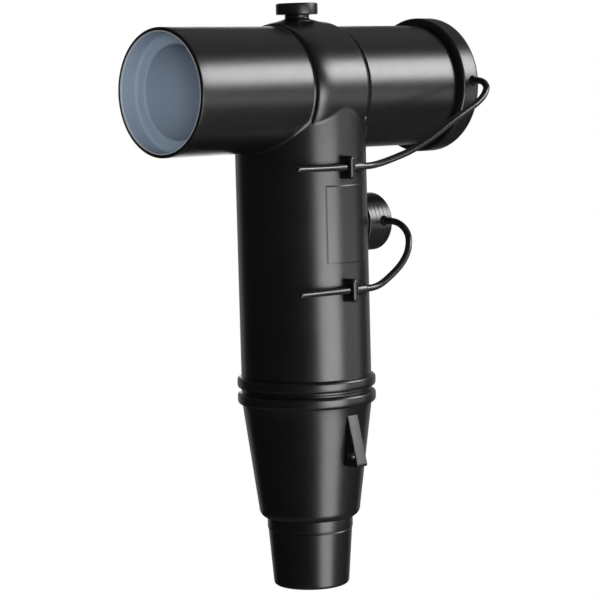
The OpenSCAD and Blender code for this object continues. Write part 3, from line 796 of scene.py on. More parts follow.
@dataclass(frozen=True)
class Sizes:
    """Sizes that several pieces share, in millimetres."""

    barrel_r: float = 38.0
    layer_r: float = 36.1
    skirt_r: float = 35.5
    stem_x: float = 112.0
    back_x: float = 224.0
    stem_r: float = 40.3
    stem_drop: float = 185.0
    end_edge: float = 0.3
    screen_wall: float = 1.9
    crown_over: float = 4.7
    seat_d: float = 1.0
    bead_rise: float = 2.6
    bead_h: float = 7.6
    bead_strip: float = 1.1
    bead_top: float = 2.2
    ear_x: float = 109.0
    ear_t: float = 4.0
    ear_hole_out: float = 4.0
    ear_drops: tuple[float, float] = (47.6, 121.8)
    test_drop: float = 85.0
    collar_r: float = 14.0
    collar_out: float = 12.0
    seat_gap: float = 0.15

    def bead(self, middle_z: float, steps: int = 9) -> Points:
        """Profile of a bead from its top to its foot: a round top, a flat band and a round foot.

        Args:
            middle_z: height of the bead's middle.
            steps: steps of each rounding.

        Returns:
            Radius and height of its points, one row each.
        """
        out, half = self.bead_rise, self.bead_h / 2
        top = arc((self.stem_r, middle_z + half - self.bead_top), (out, self.bead_top), 90, 0, steps)
        return np.vstack([top, arc((self.stem_r, middle_z - half + out), (out, out), 0, -90, steps)])


SIZES = Sizes()


@dataclass(kw_only=True)
class Part:
    """Sub-assembly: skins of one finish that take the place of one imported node."""

    node: str
    slot: str
    sharp: float = 32.0
    sizes: Sizes = SIZES

    def skins(self) -> list[Skin]:
        """Works out the part's surfaces.

        Returns:
            One skin for each of its pieces.
        """
        raise NotImplementedError("each part works out its own skins")

    def build(self, finish: Material) -> list[bpy.types.Object]:
        """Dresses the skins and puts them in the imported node's place.

        Args:
            finish: material of the pieces.

        Returns:
            The pieces.
        """
        pieces = [skin.piece(finish, self.slot, self.sharp) for skin in self.skins()]
        for piece in pieces:
            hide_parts(self.node)
        return pieces


@dataclass
class Knob:
    """Knob on the crown: a disc with rounded edges on a waisted neck, its root sunk in the crown."""

    sizes: Sizes = SIZES
    head_r: float = 12.8
    head_t: float = 7.0
    head_dome: float = 0.3
    top_edge_r: float = 1.0
    under_edge_r: float = 0.9
    neck_r: float = 7.4
    neck_h: float = 2.2
    root_out: float = 2.2
    root_fillet: float = 1.3
    sunk: tuple[float, float, float] = (3.0, 1.2, 0.35)
    edge_steps: int = 7
    segments: int = 112

    def skin(self) -> Skin:
        """Turns the knob's profile round the stem's axis.

        Returns:
            The knob.
        """
        top = self.sizes.barrel_r + self.sizes.crown_over
        bottom, flare, waist = (top - depth for depth in self.sunk)
        under, root_r = top + self.neck_h, self.neck_r + self.root_out
        profile = rounded([
            (0, bottom, 0), (root_r, bottom, 0), (root_r, flare, 0),
            (self.neck_r, waist, self.root_fillet), (self.neck_r, under, self.under_edge_r),
            (self.head_r, under, self.under_edge_r), (self.head_r, under + self.head_t, self.top_edge_r),
            (0, under + self.head_t + self.head_dome, 0)], self.edge_steps)
        place = (self.sizes.stem_x, 0, 0)
        return Skin("crown_knob").turned(profile, Axis.STEM, place, self.segments)


@dataclass
class Ear:
    """Ear for a strap: a rounded plate with a hole, a little thicker at its root."""

    name: str
    drop: float
    sizes: Sizes = SIZES
    reach: float = 8.0
    height: float = 14.4
    sunk: float = 1.4
    corner_r: float = 2.4
    edge_r: float = 1.7
    hole_r: float = 1.9
    flare_run: float = 1.6
    flare_gain: float = 0.45
    corner_steps: int = 10
    edge_points: int = 132

    def skin(self) -> Skin:
        """Cuts the plate and thickens its root by 1 + gain t^2, with t from 0 to 1 into the flare.

        Returns:
            The ear.
        """
        face, middle, half = -self.sizes.stem_r, -self.drop, self.height / 2
        root, tip, corner_r = face + self.sunk, face - self.reach, self.corner_r
        outline = even_loop(rounded([
            (root, middle - half, 0), (root, middle + half, 0), (tip, middle + half, corner_r),
            (tip, middle - half, corner_r)], self.corner_steps), self.edge_points)
        hole = face - self.sizes.ear_hole_out, middle
        points = plate(outline, hole, self.hole_r, self.sizes.ear_t, self.edge_r)
        flare = np.clip((points[..., 1] - face + self.flare_run) / self.flare_run, 0, 1)
        points[..., 0] = points[..., 0] * (1 + self.flare_gain * flare**2) + self.sizes.ear_x
        return Skin(self.name).grid(points, close_rows=True, close_cols=True)


@dataclass
class TestSeat:
    """Flat boss on the stem and moulded collar under the cap of the test point."""

    sizes: Sizes = SIZES
    bore_r: float = 11.4
    bore_sunk: float = 5.0
    boss_r: float = 17.2
    boss_out: float = 1.0
    boss_sunk: float = 6.4
    edge_r: float = 0.4
    collar_edge_r: float = 0.5
    edge_steps: int = 4
    segments: int = 96

    def skin(self) -> Skin:
        """Turns the profile of boss and collar round the test point's axis.

        Returns:
            Boss and collar in one skin.
        """
        sizes, face = self.sizes, self.sizes.stem_r
        collar, boss = face + sizes.collar_out, face + self.boss_out
        profile = rounded([
            (self.bore_r, face - self.bore_sunk, 0), (self.bore_r, collar, self.edge_r),
            (sizes.collar_r, collar, self.collar_edge_r), (sizes.collar_r, boss, 0),
            (self.boss_r, boss, self.edge_r), (self.boss_r, face - self.boss_sunk, 0)], self.edge_steps)
        place = (sizes.stem_x, 0, -sizes.test_drop)
        return Skin("test_point_seat").turned(profile, Axis.BARREL, place, self.segments, ring=True)


@dataclass(kw_only=True)
class Housing(Part):
    """Black jacket of the housing: barrel, belt, crown, stem, panel and bead in one skin.

    Lengths along the barrel are s, measured from the stem's axis. Angles round the barrel are measured
    from straight down, and turns round the stem from its front. The last fields place the grids' rows
    and columns: a zone's gain says how much closer they lie there.
    """

    node: str = "outer_screen"
    slot: str = "screen_rubber"
    belt_rise: float = 4.35
    belt_top_share: float = 0.65
    belt_top_from: float = 0.2
    belt_front: float = 22.1
    belt_rear: float = 21.3
    belt_front_run: float = 13.5
    belt_rear_run: float = 4.5
    belt_foot_r: float = 2.4
    belt_foot_a: float = 55.0
    trough_w: float = 3.7
    trough_d: float = 1.9
    crown_flat_r: float = 7.4
    crown_slope: float = 0.22
    crown_curve: float = 0.0048
    crown_soft: float = 1.2
    front_fillet: float = 1.3
    belt_fillet: float = 0.5
    rear_fillet: float = 1.5
    fillet_runs: tuple[float, float, float] = (3.2, 0.3, 1.5)
    wall_soft: float = 3.0
    seam_below: float = 4.0
    mouth_edge_r: float = 0.8
    groove_x: float = 213.4
    groove_floor: float = 3.0
    panel_w: float = 31.0
    panel_h: float = 47.0
    panel_drop: float = 58.5
    panel_rise: float = 0.16
    panel_edge: float = 0.4
    seam_columns: int = 116
    front_zone: tuple[float, float, float] = (-24.0, -12.0, 3.2)
    rear_zone: tuple[float, float, float] = (17.0, 0.3, 3.6)
    half_columns: int = 82
    near_columns: int = 32
    near_reach: float = 13.0
    near_zone: tuple[float, float, float] = (4.0, 1.6, 1.4)
    rows_reach: float = 45.0
    rows_gap: float = 0.4
    row_counts: tuple[int, int, int] = (12, 26, 10)
    stem_rows_top: float = 52.0
    stem_row_counts: tuple[int, int, int] = (11, 7, 11)
    edge_steps: int = 6
    ray_stretch: tuple[float, float] = (0.9, 1.3)
    halvings: int = 34

    def belt(self, s: Points) -> Points:
        """How far the belt stands out of the barrel.

        It rises by a hollow arc and a quarter oval in front and ends in a quarter oval behind, with
        height = rise sqrt(1 - ((s - start) / run)^2), and then sinks into a trough, a parabola.

        Args:
            s: lengths.

        Returns:
            The height at each length.
        """
        foot_a = np.radians(self.belt_foot_a)
        foot_s = -self.belt_front - self.belt_foot_r * np.sin(foot_a)
        foot_rise = self.belt_foot_r * (1 - np.cos(foot_a))
        front_s, rear_s = self.belt_front_run - self.belt_front, self.belt_rear - self.belt_rear_run
        foot = self.belt_foot_r - np.sqrt(np.clip(self.belt_foot_r**2 - (s - foot_s) ** 2, 0, None))
        front = np.sqrt(np.clip(1 - ((s - front_s) / self.belt_front_run) ** 2, 0, None))
        front = foot_rise + (self.belt_rise - foot_rise) * front
        rear = self.belt_rise * np.sqrt(np.clip(1 - ((s - rear_s) / self.belt_rear_run) ** 2, 0, None))
        trough = self.trough_d * (((s - self.belt_rear) * 2 / self.trough_w - 1) ** 2 - 1)
        where = [s < foot_s, s < -self.belt_front, s < front_s, s < rear_s, s < self.belt_rear,
                 s < self.belt_rear + self.trough_w]
        return np.select(where, [0 * s, foot, front, self.belt_rise + 0 * s, rear, trough], 0)

    def barrel_radius(self, s: Points, y: Points, z: Points) -> Points:
        """Radius of the barrel with its belt and crown.

        The belt is lower on top. The crown adds over - slope t - curve t^2, with t the distance from
        the rim of its flat middle. The greater of the two counts, with a soft change between them.

        Args:
            s: lengths.
            y: first part of the direction.
            z: second part of the direction.

        Returns:
            The radius at each length, in each direction.
        """
        top = ease(z / np.hypot(y, z), self.belt_top_from, 1)
        belt = self.belt(s) * (1 - (1 - self.belt_top_share) * top)
        away = np.maximum(np.hypot(s, y) - self.crown_flat_r, 0)
        crown = self.sizes.crown_over - self.crown_slope * away - self.crown_curve * away**2
        crown = np.where(z > 0, crown, -np.inf)
        blend = np.maximum(self.crown_soft - np.abs(belt - crown), 0)
        return self.sizes.barrel_r + np.maximum(belt, crown) + blend**2 / (4 * self.crown_soft)

    def distance(self, points: Points) -> Points:
        """How far points lie outside the jacket, below zero inside it.

        Barrel and stem, at distances a and b, join with a round fillet r:
        max(r, min(a, b)) - |(max(r - a, 0), max(r - b, 0))|.

        Args:
            points: places measured from the middle of the crossing.

        Returns:
            The distances.
        """
        s, y, z = np.moveaxis(points, -1, 0)
        barrel = np.hypot(y, z) - self.barrel_radius(s, y, z)
        stem = np.maximum(np.hypot(s, y) - self.sizes.stem_r, z)
        before, after, behind = self.fillet_runs
        front, rear = -self.belt_front, self.belt_rear
        fillet = np.interp(s, [front - before, front + after, rear, rear + behind],
                           [self.front_fillet, self.belt_fillet, self.belt_fillet, self.rear_fillet])
        corner = np.hypot(np.maximum(fillet - barrel, 0), np.maximum(fillet - stem, 0))
        return np.maximum(fillet, np.minimum(barrel, stem)) - corner

    def seam(self, turn: Points) -> Points:
        """Points on the stem where the barrel's grid ends, just under the line where the two meet.

        On the stem's surface, z = -(sqrt(belt radius^2 - y^2) + seam_below).

        Args:
            turn: turns round the stem.

        Returns:
            The points, one row each.
        """
        s, y = -self.sizes.stem_r * np.cos(turn), self.sizes.stem_r * np.sin(turn)
        belt_r = self.sizes.barrel_r + self.belt_rise
        return np.stack([s, y, -np.sqrt(belt_r**2 - y**2) - self.seam_below], -1)

    def cast(self, turn: Points) -> Points:
        """Where the rays from the crossing's middle to the seam pass the cylinder of the barrel.

        Args:
            turn: turns round the stem.

        Returns:
            A row of lengths s and a row of angles.
        """
        s, y, z = np.moveaxis(self.seam(turn), -1, 0)
        return np.stack([s * self.sizes.barrel_r / np.hypot(y, z), np.arctan2(y, -z)])

    def turn_at(self, s: float) -> float:
        """Turn round the stem whose ray passes a length s, looked up in a fine table."""
        turns = np.linspace(0, np.pi, TABLE_ROWS // 2 + 1)
        return float(np.interp(s, self.cast(turns)[0], turns))

    def hole(self) -> Points:
        """Edge of the hole that the stem leaves in the barrel's grid.

        Its turns lie closer together near the belt's two edges, and some are moved to the panel's
        edges and the belt's rear edge.

        Returns:
            A row of lengths s and a row of angles.
        """
        trough_end = self.belt_rear + self.trough_w
        fine = []
        for start, end, gain in (self.front_zone,
                                 (self.rear_zone[0], trough_end + self.rear_zone[1], self.rear_zone[2])):
            first, last = self.turn_at(start), self.turn_at(end)
            fine.append(((first + last) / 2, (last - first) / 2, gain))
        edges = np.array([self.panel_w / 2, self.panel_w / 2 - self.panel_edge])
        exact = np.arccos(np.concatenate([edges, -edges]) / self.sizes.stem_r)
        return self.cast(graded(0, np.pi, self.seam_columns, tuple(fine),
                                (*exact, self.turn_at(self.belt_rear))))

    def angles(self, hole: Points) -> Points:
        """Angles of one half's columns, close together near the stem.

        Up to near_reach they lie at the same distances from the hole's edge in every row. From there
        they are spread evenly up to the top.

        Args:
            hole: angle of the hole's edge in each row, 0 where there is none.

        Returns:
            Angles as rows x columns.
        """
        radius = self.sizes.barrel_r
        reach = self.near_reach / radius
        centre, width, gain = self.near_zone
        near = graded(0, reach, self.near_columns, ((centre / radius, width / radius, gain),))
        share = np.linspace(0, 1, self.half_columns - len(near) + 1)[1:]
        far = (hole + reach)[:, None] * (1 - share) + np.pi * share
        return np.hstack([hole[:, None] + near, far])

    def crossing_half(self, lengths: Points, hole: Points) -> Points:
        """One half of the rows near the stem, by rays from the middle of the crossing.

        Each ray goes to the cylinder of the barrel at the row's length and the column's angle, and is
        stretched to where distance() is zero, found by halving a range of stretches.

        Args:
            lengths: length s of each row.
            hole: angle of the hole's edge in each row.

        Returns:
            Points as rows x columns x 3.
        """
        angle, radius = self.angles(hole), self.sizes.barrel_r
        s = lengths[:, None] + 0 * angle
        ray = np.stack([s, radius * np.sin(angle), -radius * np.cos(angle)], -1)
        low, high = (np.full(angle.shape, stretch) for stretch in self.ray_stretch)
        for _ in range(self.halvings):
            middle = (low + high) / 2
            outside = self.distance(ray * middle[..., None]) > 0
            low, high = np.where(outside, low, middle), np.where(outside, middle, high)
        return ray * high[..., None]

    def plain_half(self, profile: Points) -> Points:
        """One half of the rows of the plain barrel.

        Args:
            profile: radius and length s of each row.

        Returns:
            Points (s, radius sin(angle), -radius cos(angle)) as rows x columns x 3.
        """
        angle = self.angles(np.zeros(len(profile)))
        radius, s = profile[:, :1], profile[:, 1:]
        return np.stack([s + 0 * angle, radius * np.sin(angle), -radius * np.cos(angle)], -1)

    def barrel_grid(self) -> tuple[Points, Points]:
        """The barrel's grid from mouth to back end, its far half the mirror image of the near one.

        Returns:
            Points as rows x columns x 3, and the ring that the hole leaves, in order round the stem.
        """
        radius, stem_x = self.sizes.barrel_r, self.sizes.stem_x
        edge, depth, steps = self.mouth_edge_r, self.sizes.seat_d, self.edge_steps
        front_count, step_count, rear_count = self.row_counts
        lengths, hole = self.hole()
        near_s = self.sizes.stem_r * radius / (radius + self.belt_rise + self.seam_below)
        step_s = np.linspace(near_s + self.rows_gap, self.rows_reach, step_count)
        front_s = np.linspace(edge - stem_x, -self.rows_reach, front_count)[1:-1]
        rear_s = np.linspace(self.rows_reach, self.groove_x - 2 * depth - stem_x, rear_count)[1:]
        lip = arc((radius - edge, edge - stem_x), (edge, edge), -90, 0, steps)
        turn_in = arc((radius - depth, self.groove_x - depth - stem_x), (depth, depth), 0, 90, steps)
        seat_s = np.array([self.groove_x + self.groove_floor, self.sizes.back_x]) - stem_x
        half = np.concatenate([
            self.plain_half(np.vstack([lip, straight(radius, front_s)])),
            self.crossing_half(np.concatenate([-step_s[::-1], lengths, step_s]),
                               np.concatenate([0 * step_s, hole, 0 * step_s])),
            self.plain_half(np.vstack([straight(radius, rear_s), turn_in,
                                       straight(radius - depth, seat_s)]))])
        grid = np.concatenate([half, half[:, -2::-1] * [1, -1, 1]], 1)
        first = len(lip) + len(front_s) + len(step_s)
        last = first + len(lengths) - 1
        return grid, np.concatenate([grid[first:last + 1, 0], grid[last - 1:first:-1, -1]])

    def stem_profile(self) -> Points:
        """Profile of the stem from the panel's top to its lower end.

        Returns:
            Radius and height of each row.
        """
        sizes, edge = self.sizes, self.panel_edge
        top, foot, end = -self.panel_drop, -self.panel_drop - self.panel_h, -sizes.stem_drop
        _, beside, below = self.stem_row_counts
        plain = np.concatenate([
            [top + edge, top, top - edge], np.linspace(top - 2 * edge, foot + 2 * edge, beside),
            [foot + edge, foot],
            np.linspace(foot - edge, end + sizes.bead_strip + sizes.bead_h, below)[:-1]])
        return np.vstack([
            straight(sizes.stem_r, plain), sizes.bead(end + sizes.bead_strip + sizes.bead_h / 2),
            [(sizes.stem_r, end + sizes.end_edge), (sizes.stem_r - sizes.end_edge, end)]])

    def stem_grid(self, ring: Points) -> Points:
        """The stem's grid from the seam ring to its lower end, with panel and bead.

        A point keeps its ring point's turn. Its radius is its row's, and on the panel's side it adds
        the panel's rise times how far it is inside the panel's edges.

        Args:
            ring: points of the seam in order round the stem.

        Returns:
            Points as rows x columns x 3.
        """
        turn = np.arctan2(ring[:, 1], ring[:, 0])
        share = np.linspace(0, 1, self.stem_row_counts[0])[1:, None]
        upper_z = ring[:, 2] * (1 - share) - self.stem_rows_top * share
        lower = self.stem_profile()
        z = np.vstack([upper_z, lower[:, 1:] + 0 * turn])
        radius = np.vstack([np.full_like(upper_z, self.sizes.stem_r), lower[:, :1] + 0 * turn])
        beside = (self.panel_w / 2 - np.abs(radius * np.cos(turn))) / self.panel_edge
        level = np.minimum(-self.panel_drop - z, z + self.panel_drop + self.panel_h) / self.panel_edge
        inside = np.clip(np.minimum(beside, level), 0, 1)
        radius = radius + np.where(turn < 0, self.panel_rise * inside, 0)
        rows = np.stack([radius * np.cos(turn), radius * np.sin(turn), z], -1)
        return np.concatenate([ring[None], rows])

    def inside(self, outer: Points) -> Points:
        """Moves points of the outside to the inner wall.

        They are drawn in to the barrel's or the stem's layer radius, whichever skin they belong to,
        with a soft change between the two.

        Args:
            outer: points of the outside.

        Returns:
            The same points on the inner wall.
        """
        sizes = self.sizes
        s, y, z = np.moveaxis(outer, -1, 0)
        from_barrel, from_stem = np.hypot(y, z), np.hypot(s, y)
        nearer = from_barrel - self.barrel_radius(s, y, z) - np.maximum(from_stem - sizes.stem_r, z)
        share = ease(nearer, -self.wall_soft, self.wall_soft)[..., None]
        across_barrel = sizes.layer_r / from_barrel
        across_stem = (sizes.stem_r - sizes.screen_wall) / from_stem
        in_barrel = outer * np.stack([1 + 0 * s, across_barrel, across_barrel], -1)
        in_stem = outer * np.stack([across_stem, across_stem, 1 + 0 * s], -1)
        return in_barrel * (1 - share) + in_stem * share

    def jacket(self) -> Skin:
        """Puts the closed skin together: barrel and stem, outside and inside, and their open ends.

        Returns:
            The jacket.
        """
        grid, ring = self.barrel_grid()
        stem = self.stem_grid(ring)
        inner_grid, inner_stem = self.inside(grid), self.inside(stem)
        across = np.array([self.sizes.stem_x, 0, 0])
        skin = Skin("housing_jacket")
        for part, closed in ((grid, False), (stem, True), (inner_grid, False), (inner_stem, True)):
            skin.grid(part + across, close_cols=closed)
        for row in (0, -1):
            skin.grid(np.stack([grid[row], inner_grid[row]]) + across)
        skin.grid(np.stack([stem[-1], inner_stem[-1]]) + across, close_cols=True)
        return skin

    def skins(self) -> list[Skin]:
        """Works out the housing's surfaces.

        Returns:
            Jacket, knob, seat of the test point's cap and both ears.
        """
        upper, lower = self.sizes.ear_drops
        return [self.jacket(), Knob().skin(), TestSeat().skin(),
                Ear("upper_ear", upper).skin(), Ear("lower_ear", lower).skin()]


@dataclass(kw_only=True)
class Adapter(Part):
    """Black jacket of the cable adapter, with its earthing fin."""

    node: str = "adapter_jacket"
    slot: str = "adapter_rubber"
    cone_top_r: float = 40.1
    cone_foot_r: float = 31.5
    cone_len: float = 74.2
    cone_lip: float = 0.4
    shoulder_out: float = 5.8
    shoulder_drop: float = 6.2
    band_r: float = 26.6
    band_h: float = 7.0
    band_edge_r: float = 0.9
    band_step: float = 0.5
    groove_h: float = 0.3
    tube_end_r: float = 23.6
    tube_len: float = 35.7
    tube_edge_r: float = 2.5
    entry_bore_r: float = 19.5
    entry_bore_depth: float = 42.0
    entry_cone: float = 3.0
    entry_edge_r: float = 0.6
    core_bore_r: float = 16.5
    core_skin: float = 0.6
    seat_foot_r: float = 28.5
    deflector_run: float = 58.0
    deflector_strip: float = 0.06
    deflector_gap: float = 1.0
    fin_t: float = 9.0
    fin_h: float = 31.0
    fin_drop: float = 13.8
    fin_reach: float = 47.3
    fin_sunk: tuple[float, float] = (2.5, 3.0)
    fin_nose: tuple[float, float] = (0.6, 1.2)
    fin_edges: tuple[float, float, float] = (0.3, 1.0, 0.6)
    fin_face_edge: float = 0.7
    fin_hole: tuple[float, float] = (5.2, 6.4)
    fin_hole_r: float = 2.5
    fin_steps: int = 8
    flare_points: int = 25
    cone_rows: int = 9
    arc_steps: tuple[int, int, int, int] = (14, 5, 9, 4)
    segments: int = 176

    def deflector(self) -> Points:
        """Profile of the deflector's flare, from the core bore up to the seat: half a cosine wave.

        Returns:
            Radius and height of its points.
        """
        t = np.linspace(1, 0, self.flare_points)
        strip = self.deflector_strip * self.deflector_run
        wave = (1 - np.cos(np.pi * t)) / 2
        radius = self.seat_foot_r + (self.core_bore_r + self.core_skin - self.seat_foot_r) * wave
        return np.stack([radius, -self.sizes.stem_drop - strip - (self.deflector_run - strip) * t], 1)

    def outline(self) -> Points:
        """Closed profile of the jacket: down the outside and up through the bores.

        Returns:
            Radius and height of its points.
        """
        sizes, edge = self.sizes, self.sizes.end_edge
        top = -sizes.stem_drop - sizes.seat_gap
        cone_top = -sizes.stem_drop - (sizes.bead_strip + sizes.bead_h)
        cone_foot = -sizes.stem_drop - self.cone_len
        inward = self.band_r - self.cone_foot_r + self.shoulder_out
        shoulder = np.degrees(np.arccos(inward / self.shoulder_out))
        band_foot = cone_foot - self.shoulder_drop * np.sin(np.radians(shoulder)) - self.band_h
        end = band_foot - self.tube_len
        entry = end + self.entry_bore_depth
        band_r, tube_r, entry_r = self.band_edge_r, self.tube_edge_r, self.entry_edge_r
        shoulder_steps, band_steps, tube_steps, entry_steps = self.arc_steps
        share = np.linspace(0, 1, self.cone_rows)[:-1, None]
        cone = np.array([self.cone_top_r, cone_top - self.cone_lip]) * (1 - share)
        cone = cone + np.array([self.cone_foot_r, cone_foot]) * share
        return np.vstack([
            [(self.seat_foot_r, top), (sizes.stem_r - edge, top), (sizes.stem_r, top - edge)],
            sizes.bead(-sizes.stem_drop - sizes.bead_strip - sizes.bead_h / 2), cone,
            arc((self.cone_foot_r - self.shoulder_out, cone_foot),
                (self.shoulder_out, self.shoulder_drop), 0, -shoulder, shoulder_steps),
            arc((self.band_r - band_r, band_foot + band_r), (band_r, band_r), 0, -90, band_steps),
            [(self.band_r - band_r, band_foot - self.groove_h),
             (self.band_r - self.band_step, band_foot - 3 * self.groove_h)],
            arc((self.tube_end_r - tube_r, end + tube_r), (tube_r, tube_r), 0, -90, tube_steps),
            arc((self.entry_bore_r + entry_r, end + entry_r), (entry_r, entry_r), -90, -180,
                entry_steps),
            [(self.entry_bore_r, entry), (self.core_bore_r, entry + self.entry_cone),
             (self.core_bore_r, -sizes.stem_drop - self.deflector_run - self.deflector_gap)],
            self.deflector()])

    def fin(self) -> Skin:
        """Cuts the wedge-shaped fin for the earthing wire, with its eye.

        Returns:
            The fin.
        """
        sizes = self.sizes
        top = -sizes.stem_drop - self.fin_drop
        foot = top - self.fin_h
        slope = (self.cone_top_r - self.cone_foot_r) / (self.cone_len - sizes.bead_strip - sizes.bead_h)
        face = self.cone_top_r - slope * (self.fin_drop - sizes.bead_strip - sizes.bead_h)
        top_r, nose_r, foot_r = self.fin_edges
        outline = even_loop(rounded([
            (-face + self.fin_sunk[0], top, 0), (-face - top_r, top, top_r),
            (-self.fin_reach, foot + self.fin_nose[1], nose_r),
            (-self.fin_reach + self.fin_nose[0], foot, foot_r),
            (-self.cone_foot_r + self.fin_sunk[1], foot, 0)], self.fin_steps), self.segments)
        hole = -self.fin_reach + self.fin_hole[0], foot + self.fin_hole[1]
        points = plate(outline, hole, self.fin_hole_r, self.fin_t, self.fin_face_edge)
        points[..., 0] += sizes.stem_x
        return Skin("earthing_fin").grid(points, close_rows=True, close_cols=True)

    def skins(self) -> list[Skin]:
        """Works out the adapter's surfaces.

        Returns:
            Jacket and fin.
        """
        place = (self.sizes.stem_x, 0, 0)
        jacket = Skin("adapter_skin").turned(self.outline(), Axis.STEM, place, self.segments, ring=True)
        return [jacket, self.fin()]


@dataclass
class StrapRoot:
    """Little moulded boss on a cap, that its strap leaves from."""

    name: str
    cap_r: float
    through: Place
    foot_r: float = 3.6
    waist_r: float = 3.1
    waist_out: float = 0.5
    waist_fillet: float = 0.9
    tip_r: float = 2.1
    tip_out: float = 1.9
    sunk: float = 1.2
    edge_steps: int = 5
    segments: int = 36

    def skin(self) -> Skin:
        """Turns the boss round the line on which its strap starts.

        Returns:
            The boss.
        """
        foot, waist, tip = (-self.cap_r - out for out in (-self.sunk, self.waist_out, self.tip_out))
        profile = rounded([(0, foot, 0), (self.foot_r, foot, 0), (self.waist_r, waist, self.waist_fillet),
                           (self.tip_r, tip, 0), (0, tip, 0)], self.edge_steps)
        return Skin(self.name).turned(profile, Axis.ACROSS, self.through, self.segments)


@dataclass(kw_only=True)
class RearCap(Part):
    """Cap slipped over the back end of the barrel, with the root of its strap."""

    node: str = "rear_cap"
    slot: str = "cap_rubber"
    start_x: float = 215.6
    length: float = 15.4
    dome: float = 0.4
    overlap: float = 8.4
    radius: float = 42.7
    edge_r: float = 3.2
    front_edge_r: float = 2.0
    mouth_edge_r: float = 0.3
    pocket_in: float = 2.0
    wall: float = 4.0
    root: Place = (224.0, 0, 2.0)
    edge_steps: int = 8
    segments: int = 176

    def skins(self) -> list[Skin]:
        """Works out the cap's surfaces.

        Returns:
            Cap and strap root.
        """
        sizes, start, end = self.sizes, self.start_x, self.start_x + self.length
        inner, pocket = sizes.barrel_r - sizes.seat_d + sizes.seat_gap, sizes.skirt_r - self.pocket_in
        step = start + self.overlap + sizes.seat_gap
        profile = rounded([
            (0, end + self.dome, 0), (self.radius, end, self.edge_r),
            (self.radius, start, self.front_edge_r), (inner, start, self.mouth_edge_r),
            (inner, step, 0), (pocket, step, 0), (pocket, end - self.wall, 0),
            (0, end - self.wall, 0)], self.edge_steps)
        return [Skin("rear_cap_skin").turned(profile, Axis.BARREL, (0, 0, 0), self.segments),
                StrapRoot("rear_cap_strap_root", self.radius, self.root).skin()]


@dataclass(kw_only=True)
class TestCap(Part):
    """Ribbed rubber cap of the test point, with the root of its strap."""

    node: str = "test_point_cap"
    slot: str = "test_cap_rubber"
    start: float = 1.15
    length: float = 20.5
    dome: float = 0.3
    radius: float = 18.2
    edge_r: float = 2.0
    front_edge_r: float = 0.6
    mouth_edge: float = 0.3
    rib_count: int = 4
    rib_start: float = 2.6
    rib_zone: float = 13.9
    groove: float = 0.12
    pin_r: float = 6.6
    pin_out: float = 2.6
    root: Place = (165.8, 0, -84.0)
    edge_steps: tuple[int, int] = (4, 8)
    rib_points: int = 97
    segments: int = 128

    def skins(self) -> list[Skin]:
        """Works out the cap's surfaces, the ribs as a row of crests: radius - groove (1 - |sin|)^2.

        Returns:
            Cap and strap root.
        """
        sizes, edge, front = self.sizes, self.edge_r, self.front_edge_r
        inside = sizes.collar_out + sizes.seat_gap - self.start
        inner = sizes.collar_r + sizes.seat_gap
        height = np.linspace(self.rib_start, self.rib_start + self.rib_zone, self.rib_points)
        crest = np.abs(np.sin(np.pi * self.rib_count * (height - self.rib_start) / self.rib_zone))
        ribs = np.stack([self.radius - self.groove * (1 - crest) ** 2, height], 1)
        profile = np.vstack([
            [(0, inside + self.pin_out), (self.pin_r, inside + self.pin_out), (self.pin_r, inside),
             (inner, inside), (inner, self.mouth_edge), (inner + self.mouth_edge, 0)],
            arc((self.radius - front, front), (front, front), -90, 0, self.edge_steps[0]), ribs,
            arc((self.radius - edge, self.length - edge), (edge, edge), 0, 90, self.edge_steps[1]),
            [(0, self.length + self.dome)]])
        place = (sizes.stem_x + sizes.stem_r + self.start, 0, -sizes.test_drop)
        return [Skin("test_cap_skin").turned(profile, Axis.BARREL, place, self.segments),
                StrapRoot("test_cap_strap_root", self.radius, self.root).skin()]


@dataclass(kw_only=True)
class Tail(Part):
    """Stop collar behind an ear and the barbed tail that is pulled through it."""

    slot: str = "tail_rubber"
    sharp: float = 40.0
    drop: float
    sag: float
    stop_r: float = 3.4
    stop_len: float = 12.2
    stop_edges: tuple[float, float] = (0.6, 0.7)
    collar_len: float = 8.8
    neck_r: float = 2.2
    neck_run: float = 0.4
    neck_edge_r: float = 0.2
    radius: float = 1.8
    length: float = 41.5
    straight_from: float = 2.0
    barb_r: float = 2.4
    barb_len: float = 10.0
    barb_shoulder: float = 1.4
    barb_edges: tuple[float, float] = (1.2, 0.3)
    barb_run: float = 1.0
    edge_steps: int = 6
    tail_rows: int = 14
    segments: int = 36

    def skins(self) -> list[Skin]:
        """Turns the profile, and lets the tail sink by sag times the square of the way to its tip.

        Returns:
            Collar and tail in one skin.
        """
        sizes, radius = self.sizes, self.radius
        front = sizes.ear_x - sizes.ear_t / 2 - sizes.seat_gap
        rear = sizes.ear_x + sizes.ear_t / 2 + sizes.seat_gap
        tip, collar_end, stop_end = front - self.length, rear + self.collar_len, rear + self.stop_len
        barb_end = front - self.barb_len
        plain = np.linspace(tip + self.straight_from, barb_end - self.barb_run, self.tail_rows)
        profile = np.vstack([
            arc((0, tip + radius), (radius, radius), -90, 0, self.edge_steps),
            straight(radius, plain),
            rounded([(radius, barb_end, 0),
                     (self.barb_r, front - self.barb_shoulder, self.barb_edges[0]),
                     (self.barb_r, front, self.barb_edges[1]), (radius, front, 0), (radius, rear, 0),
                     (self.stop_r, rear, self.stop_edges[0]),
                     (self.stop_r, collar_end, self.stop_edges[1]),
                     (self.neck_r, collar_end + self.neck_run, self.neck_edge_r),
                     (self.neck_r, stop_end, 0), (0, stop_end, 0)], self.edge_steps)])
        hole = (0, -sizes.stem_r - sizes.ear_hole_out, -self.drop)
        skin = Skin(f"{self.node}_skin").turned(profile, Axis.BARREL, hole, self.segments)
        points = skin.grids[0]
        way = np.clip((front - self.straight_from - points[:, 0]) / self.length, 0, None)
        points[:, 2] -= self.sag * way**2
        return [skin]


